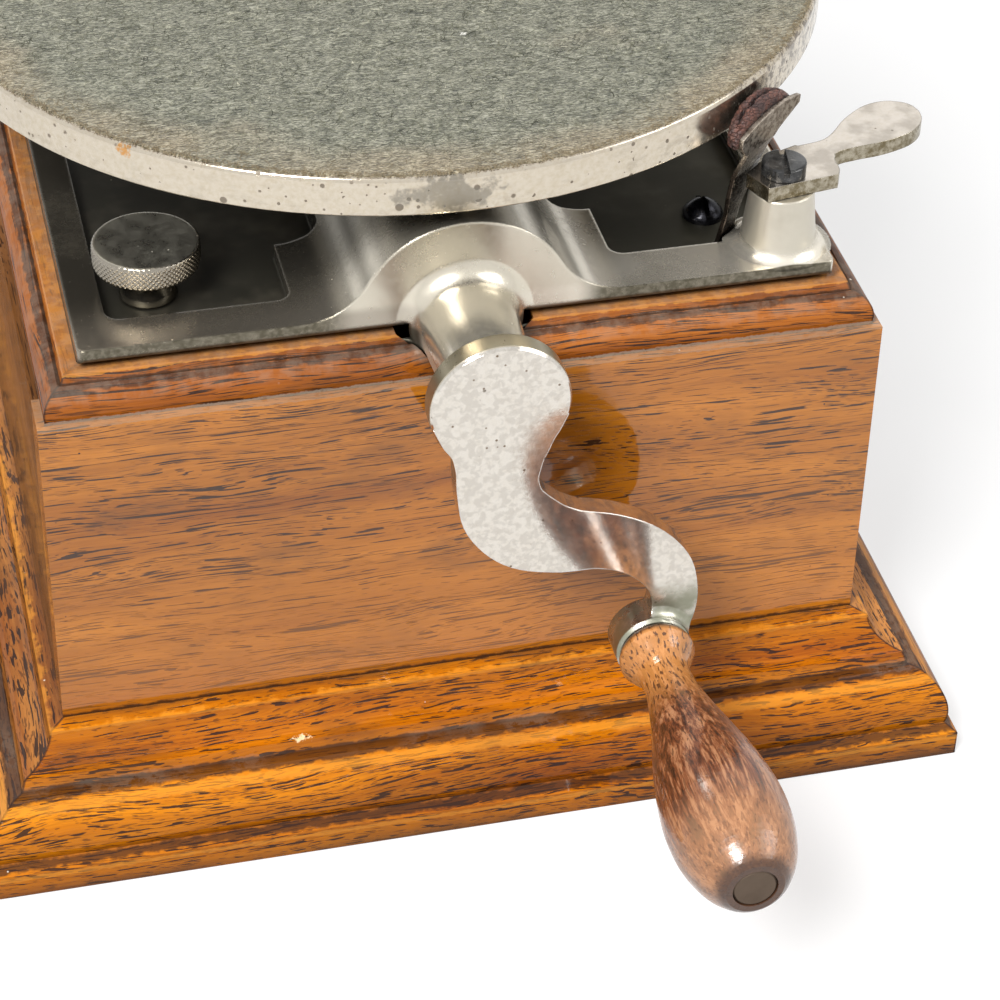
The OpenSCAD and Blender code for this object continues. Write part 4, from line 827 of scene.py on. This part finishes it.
def knob_wear(g, colour, _):
    """Tarnish in the knurl and on the stem, and a cloudy dark top."""
    clouds = g.span(g.noise(g.at, 0.3, 4, 0.6), 0.35, 0.65, 0.55, 0.9)
    top = g.times(g.span(g.axes()[2], KNOB_HIGH.z - 0.12, KNOB_HIGH.z - 0.03), clouds)
    colour = g.mix(top, colour, (0.60, 0.575, 0.48))
    colour = g.mix(g.times(g.corner_shade_and_dirt(0.8, 0.3, 0.9), 0.8), colour, (0.10, 0.085, 0.06))
    return colour, g.times(top, 0.25)


def crease(mesh, degrees):
    """Sharp edges where the faces turn by more than this."""
    shape = bmesh.new()
    shape.from_mesh(mesh)
    for edge in shape.edges:
        edge.smooth = edge.calc_face_angle(0) < math.radians(degrees)
    shape.to_mesh(mesh)
    shape.free()


def node_points(node):
    """The points of a node's mesh, in millimetres."""
    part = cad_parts[node]
    return np.array([part.matrix_world @ v.co for v in part.data.vertices]) / MM


def outline_in(node, picked):
    """The outline of a node's flat end, in order. picked says which points lie in that end."""
    points = node_points(node)
    names = [tuple(np.round(p, 3)) for p in points]
    chosen = picked(points)
    count = {}
    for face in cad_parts[node].data.polygons:
        if all(chosen[i] for i in face.vertices):
            for a, b in face.edge_keys:
                pair = tuple(sorted((names[a], names[b])))
                count[pair] = count.get(pair, 0) + 1
    beside = {}
    for a, b in (pair for pair, uses in count.items() if uses == 1):
        beside.setdefault(a, []).append(b)
        beside.setdefault(b, []).append(a)
    loop = [min(beside)]
    while True:
        onward = [p for p in beside[loop[-1]] if p not in loop[-2:]]
        if not onward or onward[0] == loop[0]:
            return loop
        loop.append(onward[0])


OUTLINE_STEP = 0.4
BOSS_REACH = 22
BOSS_GAP = 0.3
NOTCH_GAP = 0.6


def boss_flare():
    """The motor plate's boss: the y of each ring of its mesh, and its radius there."""
    plate = node_points("motor_plate")
    reach = np.hypot(plate[:, 0], plate[:, 2] - SHAFT_Z)
    boss = (plate[:, 1] < EDGE_Y - 0.05) & (reach < BOSS_REACH)
    levels = np.unique(np.round(plate[boss, 1], 2))
    radii = [reach[boss & (np.abs(plate[:, 1] - level) < 0.02)].max() for level in levels]
    return levels, radii


def make_front_moulding(material):
    """The front top moulding, scribed to the flare of the boss as a joiner would fit it."""
    loop = outline_in("top_moulding_front", lambda p: (p[:, 0] < 0)
        & (np.abs(np.abs(p[:, 0]) - np.abs(p[:, 1]) - CASE_HX + CASE_HY) < 0.02))
    outline = []
    for here, after in zip(loop, loop[1:] + loop[:1]):
        pieces = max(1, int(math.dist(here[1:], after[1:]) / OUTLINE_STEP))
        way = np.array(after[1:]) - here[1:]
        outline += [np.array(here[1:]) + way * k / pieces for k in range(pieces)]
    outline = np.array(outline)
    levels, radii = boss_flare()
    need = np.interp(outline[:, 0], levels, radii) + BOSS_GAP
    inner = np.sqrt(np.maximum(need ** 2 - (outline[:, 1] - SHAFT_Z) ** 2, 4.0))
    inner = np.where(outline[:, 0] > EDGE_Y - 0.1, max(radii) + NOTCH_GAP, inner)
    outer = np.abs(outline[:, 0]) + CASE_HX - CASE_HY
    count = len(outline)
    verts, faces = [], []
    for side in (-1, 1):
        start = len(verts)
        verts += [(side * x, y, z) for x, (y, z) in zip(outer, outline)]
        verts += [(side * x, y, z) for x, (y, z) in zip(inner, outline)]
        far = start + count
        faces += [(start + j, start + (j + 1) % count, far + (j + 1) % count, far + j)
            for j in range(count)]
        faces += [tuple(range(start, far)), tuple(range(far, far + count))]
    wood = mesh_object("top_moulding_scribed", np.array(verts) * MM, faces, material)
    crease(wood.data, 25)
    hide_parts("top_moulding_front")
    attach(wood, "root")


BRAKE_HEAD = dict(radius=4.2, height=2.6, dome=0.15, slot_way=-100, slot_w=1.25, slot_d=1.5,
    shank_r=1.9)
FRAME_HEAD = dict(radius=4.0, height=3.6, dome=2.6, slot_way=-91, slot_w=1.0, slot_d=1.7,
    shank_r=1.4)
CAD_HEAD_H = 3.0
FRAME_SHANK = 8.5


def screw_head(centre, shank, radius, height, dome, slot_way, slot_w, slot_d, shank_r):
    """A round head with a slot along slot_way, and its shank: (vertices, faces)."""
    half = slot_w / 2 / radius
    rows = np.concatenate([np.linspace(-0.99, -half, 18), [-half + 0.02, 0, half - 0.02],
        np.linspace(half, 0.99, 18)])
    along = np.linspace(-1, 1, 41)
    a = math.radians(slot_way)
    points = []
    for u in rows:
        v = along * math.sqrt(max(0, 1 - u * u))
        off = np.hypot(u, v)
        z = height - dome * off ** 2 - 0.25 * np.clip((off - 0.88) / 0.12, 0, 1) ** 2
        z = np.where(abs(u) < half, height - slot_d, z)
        points += [(radius * (q * math.cos(a) - u * math.sin(a)),
            radius * (q * math.sin(a) + u * math.cos(a)), r) for q, r in zip(v, z)]
    across = len(along)
    faces = [(i * across + j, i * across + j + 1, (i + 1) * across + j + 1, (i + 1) * across + j)
        for i in range(len(rows) - 1) for j in range(across - 1)]
    rim = [i * across for i in range(len(rows))]
    rim += [i * across + across - 1 for i in reversed(range(len(rows)))]
    last = rim
    for share, z in ((1, 0), (shank_r / radius, 0), (shank_r / radius, -shank)):
        start = len(points)
        points += [(points[i][0] * share, points[i][1] * share, z) for i in rim]
        ring = list(range(start, start + len(rim)))
        faces += [(last[k], last[(k + 1) % len(rim)], ring[(k + 1) % len(rim)], ring[k])
            for k in range(len(rim))]
        last = ring
    faces.append(tuple(reversed(last)))
    return [tuple(np.add(p, centre)) for p in points], faces


def make_screws(name, node, body, places, head, material):
    """One object for a node's screws. places holds each seat's centre and its shank's length."""
    verts, faces = [], []
    for centre, shank in places:
        more, sides = screw_head(centre, shank, **head)
        faces += [tuple(i + len(verts) for i in side) for side in sides]
        verts += more
    made = mesh_object(name, np.array(verts) * MM, faces, material)
    crease(made.data, 30)
    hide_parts(node)
    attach(made, body)


def make_all_screws(blued, grey):
    """The brake's screw, and the frame's screws at every place where the CAD has one."""
    low, high = corners("brake_screw")
    centre = (*halfway(low, high)[:2], high.z - CAD_HEAD_H)
    make_screws("brake_screw_slotted", "brake_screw", "root", [(centre, centre[2] - low.z)],
        BRAKE_HEAD, grey)
    points = node_points("frame_screws")
    seat = points[:, 2].max() - CAD_HEAD_H
    places = []
    for p in points:
        near = points[np.hypot(points[:, 0] - p[0], points[:, 1] - p[1]) < 12]
        middle = (near[:, :2].min(axis=0) + near[:, :2].max(axis=0)) / 2
        if all(math.dist(middle, done[:2]) > 6 for done, _ in places):
            places.append(((*middle, seat), FRAME_SHANK))
    make_screws("frame_screws_slotted", "frame_screws", "root", places, FRAME_HEAD, blued)


# the pad: its bearing from the turntable's axis, the radius of its back on the leaf, its height,
# and where it starts and how long it is along the rim
PAD_TURN = -50.2
PAD_OUT = 93.55
PAD_Z = 135.6
PAD_START = -10.4
PAD_LENGTH = 20.2
PAD_SIDES = 96
PAD_RINGS = 110


def make_pad(material):
    """The brake's leather: a thick domed piece, cracked along the top, coming away at its tip."""
    ways = np.arange(PAD_SIDES) * 2 * math.pi / PAD_SIDES
    c, w = np.cos(ways), np.sin(ways)
    points = []
    for s in np.linspace(0, 1, PAD_RINGS):
        t = PAD_START + PAD_LENGTH * s
        arch = math.sin(math.pi * s)
        close = max(0.05, 1 - abs(2 * s - 1) ** 7) ** 0.5
        top = -1.6 + 4.4 * arch ** 0.8
        low = -4.9 + 2.0 * s - 0.8 * arch
        thick = (3.3 + 0.7 * arch) * close
        lean = -0.9 * max(0, (s - 0.72) / 0.28) ** 2
        tall = (top - low) / 2 * close
        r = PAD_OUT - thick / 2 + lean + thick / 2 * np.sign(c) * np.abs(c) ** 0.6
        z = (top + low) / 2 + tall * np.sign(w) * np.abs(w) ** 0.6
        # the crack: its line along the middle, its depth and its width
        line = PAD_OUT - 0.5 * thick + 0.35 * noise.noise(Vector((t * 0.45, 3, 0)))
        deep = 2.4 * math.sin(math.pi * min(1, max(0, (s - 0.12) / 0.7))) ** 0.4
        wide = 0.32 + 0.16 * noise.noise(Vector((t * 0.8, 9, 0)))
        z = z - np.where(w > 0, deep * np.exp(-((r - line) / wide) ** 2), 0)
        points += [(a, t, b) for a, b in zip(r, z)]
    points = np.array(points)
    rough = 0.22 * noise_at(points, 0.9, 4) + 0.10 * noise_at(points, 2.3, 6)
    points[:, 0] -= np.where(points[:, 0] < PAD_OUT - 0.3, rough, 0)
    points[:, 2] += rough
    a = math.radians(PAD_TURN)
    placed = np.c_[points[:, 0] * math.cos(a) - points[:, 1] * math.sin(a),
        points[:, 0] * math.sin(a) + points[:, 1] * math.cos(a), points[:, 2] + PAD_Z]
    faces = ring_faces(PAD_RINGS, PAD_SIDES)
    faces += [tuple(range(PAD_SIDES)), tuple(len(placed) - 1 - k for k in range(PAD_SIDES))]
    pad = mesh_object("brake_pad_leather", placed * MM, faces, material)
    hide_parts("brake_pad")
    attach(pad, "brake_strip")
    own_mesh(pad)


# ---- build ----

def paint(material, *nodes):
    for name in nodes:
        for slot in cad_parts[name].material_slots:
            slot.material = material


def paint_wood():
    paint(oak("oak_front", "x", HONEY, LONG_PORES, 1.0, extra=panel_wear_and_reflection), "front_panel",
        "back_panel")
    # the sides get a darker tone: painted shade
    paint(oak("oak_sides_painted_shade", "y", SHADED_SIDE_TONES, LONG_PORES, 3.1, coat=0.45), "left_panel", "right_panel")
    paint(oak("oak_inside", "x", HONEY, LONG_PORES, 4.7, coat=0.0), "bottom_board",
        "corner_blocks")
    base = dict(pores=SHORT_PORES, shade_and_dirt=1.0, coat=0.3, mitre=True, extra=base_wear_and_painted_light)
    paint(oak("oak_base_x", "x", AMBER, seed=6.2, **base), "base_moulding_front",
        "base_moulding_back")
    paint(oak("oak_base_y", "y", TAN, seed=7.4, **base), "base_moulding_left",
        "base_moulding_right")
    top = dict(pores=LONG_PORES, shade_and_dirt=0.9, coat=0.3, mitre=True, extra=top_wear_and_painted_light)
    top_wood = oak("oak_top_x", "x", RUSSET, seed=8.8, **top)
    paint(top_wood, "top_moulding_back")
    make_front_moulding(top_wood)
    paint(oak("oak_top_y", "y", RUSSET, seed=9.5, **top), "top_moulding_left",
        "top_moulding_right")
    paint(handle_material(), "crank_handle")


def paint_metal():
    paint(plated("nickel_crank", (0.70, 0.66, 0.60), rough=(0.05, 0.13), share=0.12, size=0.13,
        mottle=0.25, extra=arm_wear), "crank_arm")
    paint(plated("nickel_rim", (0.63, 0.565, 0.465), rough=(0.12, 0.24), share=0.6, size=0.30,
        mottle=0.6, extra=rim_wear_and_reflection), "turntable")
    paint(plated("nickel_lever", (0.46, 0.42, 0.37), rough=(0.12, 0.22), share=0.15,
        extra=lever_wear), "brake_lever")
    make_knob(plated("nickel_knob", (0.34, 0.31, 0.26), rough=(0.10, 0.2), share=0.12,
        extra=knob_wear))
    paint(cast_nickel("nickel_casting"), "motor_plate")
    paint(strip_bronze(), "brake_spring")
    paint(painted_iron("frame_iron"), "frame_plate_front", "frame_plate_rear", "footstep_bracket")
    blued = dark_steel("blued_screws", (0.008, 0.008, 0.010), (0.05, 0.048, 0.046))
    paint(blued, "click_screw")
    grey = dark_steel("grey_screws", (0.030, 0.030, 0.030), (0.30, 0.29, 0.27), 0.6)
    make_all_screws(blued, grey)


def paint_works():
    """The plain metal of the motor, which hangs inside the case."""
    paint(turned_metal("bright_steel", (0.56, 0.56, 0.57)), "bottom_screws", "plate_screws",
        "frame_pillars", "crank_shaft", "winding_pinion", "spindle", "barrel_arbor",
        "ratchet_wheel", "winding_click", "intermediate_arbor", "governor_shaft",
        "speed_spindle", "speed_lever", "lever_pivot")
    paint(turned_metal("pin_steel", (0.13, 0.095, 0.07), 0.4), "handle_pin")
    paint(turned_metal("spring_steel", (0.28, 0.29, 0.33), 0.2), "mainspring", "governor_springs")
    paint(turned_metal("works_brass", (0.72, 0.53, 0.24), 0.24), "spindle_bush",
        "governor_bearing_left", "governor_bearing_right", "spindle_pinion", "governor_wheel",
        "winding_wheel", "spring_barrel", "barrel_cover", "great_wheel", "contrate_wheel",
        "governor_collar", "governor_disc", "governor_weights")


# ---- studio, in metres and watts ----

FLOOR_SIZE = 3.0
FLOOR_DROP = 0.0002
# what the floor throws back as indirect light, and how far it is lifted to white where it is seen
FLOOR_BOUNCE = (0.23, 0.23, 0.23)
FLOOR_LIFT = 0.62
# colour and strength
ROOM = ((1.0, 0.98, 0.95), 0.19)
BACKDROP = ((1.0, 1.0, 1.0), 1.0)


def add_floor():
    """Paper that looks white but throws back little light onto the object."""
    mesh = bpy.data.meshes.new("floor")
    mesh.from_pydata([(x * FLOOR_SIZE, y * FLOOR_SIZE, 0)
        for x, y in ((-1, -1), (1, -1), (1, 1), (-1, 1))], [], [(0, 1, 2, 3)])
    floor = bpy.data.objects.new("floor", mesh)
    floor.location.z = -FLOOR_DROP
    bpy.context.scene.collection.objects.link(floor)
    g = Graph("floor_paper")
    shade = g.noise(g.at, 0.004, 2)
    paper = g.mix(shade, (0.93, 0.93, 0.93), (0.95, 0.95, 0.95))
    seen = seen_white(g.tree)
    g.finish(Base_Color=g.mix(seen, FLOOR_BOUNCE, paper), Roughness=0.9, Specular_IOR_Level=0.0)
    glow = g.node("ShaderNodeEmission", {"Color": (1, 1, 1), "Strength": 1.0})
    lift = g.node("ShaderNodeMixShader", {"Fac": g.times(seen, FLOOR_LIFT)})
    g.tree.links.new(g.shader.outputs[0], lift.inputs[1])
    g.tree.links.new(glow.outputs[0], lift.inputs[2])
    g.tree.links.new(lift.outputs[0], g.tree.nodes["Material Output"].inputs["Surface"])
    mesh.materials.append(g.mat)


def add_light(name, size, power, place, aim=(0, 0, 0.08)):
    data = bpy.data.lights.new(name, "AREA")
    data.shape = "RECTANGLE"
    data.size, data.size_y = size
    data.energy = power
    lamp = bpy.data.objects.new(name, data)
    lamp.location = place
    lamp.rotation_euler = (Vector(aim) - Vector(place)).to_track_quat("-Z", "Y").to_euler()
    bpy.context.scene.collection.objects.link(lamp)


def seen_white(tree):
    """1 for camera, glossy and transmission rays: what sees the studio as white."""
    path = tree.nodes.new("ShaderNodeLightPath")
    total = path.outputs["Is Camera Ray"]
    for kind in ("Is Glossy Ray", "Is Transmission Ray"):
        most = tree.nodes.new("ShaderNodeMath")
        most.operation = "MAXIMUM"
        tree.links.new(total, most.inputs[0])
        tree.links.new(path.outputs[kind], most.inputs[1])
        total = most.outputs[0]
    return total


def add_world():
    """White behind the object, a dim even room for everything else."""
    world = bpy.data.worlds.new("studio")
    bpy.context.scene.world = world
    world.use_nodes = True
    tree = world.node_tree
    tree.nodes.clear()
    out = tree.nodes.new("ShaderNodeOutputWorld")
    mix = tree.nodes.new("ShaderNodeMixShader")
    tree.links.new(seen_white(tree), mix.inputs[0])
    for k, (colour, strength) in enumerate((ROOM, BACKDROP), 1):
        light = tree.nodes.new("ShaderNodeBackground")
        light.inputs["Color"].default_value = (*colour, 1)
        light.inputs["Strength"].default_value = strength
        tree.links.new(light.outputs[0], mix.inputs[k])
    tree.links.new(mix.outputs[0], out.inputs[0])


def light_scene():
    add_world()
    add_light("softbox_key", (0.6, 0.68), 43.5, (-0.75, -0.95, 1.35))
    add_light("softbox_right", (0.9, 0.9), 13, (1.25, -0.5, 1.1))
    add_light("softbox_back", (1.6, 0.9), 3.4, (0.3, 1.2, 1.0))
    bpy.context.scene.view_settings.view_transform = "Standard"


add_camera()
paint_wood()
paint_metal()
paint_works()
leather = leather_material()
paint(leather, "friction_pad")
make_pad(leather)
make_felt(felt_material())
make_fibres(fibre_material())
add_floor()
light_scene()
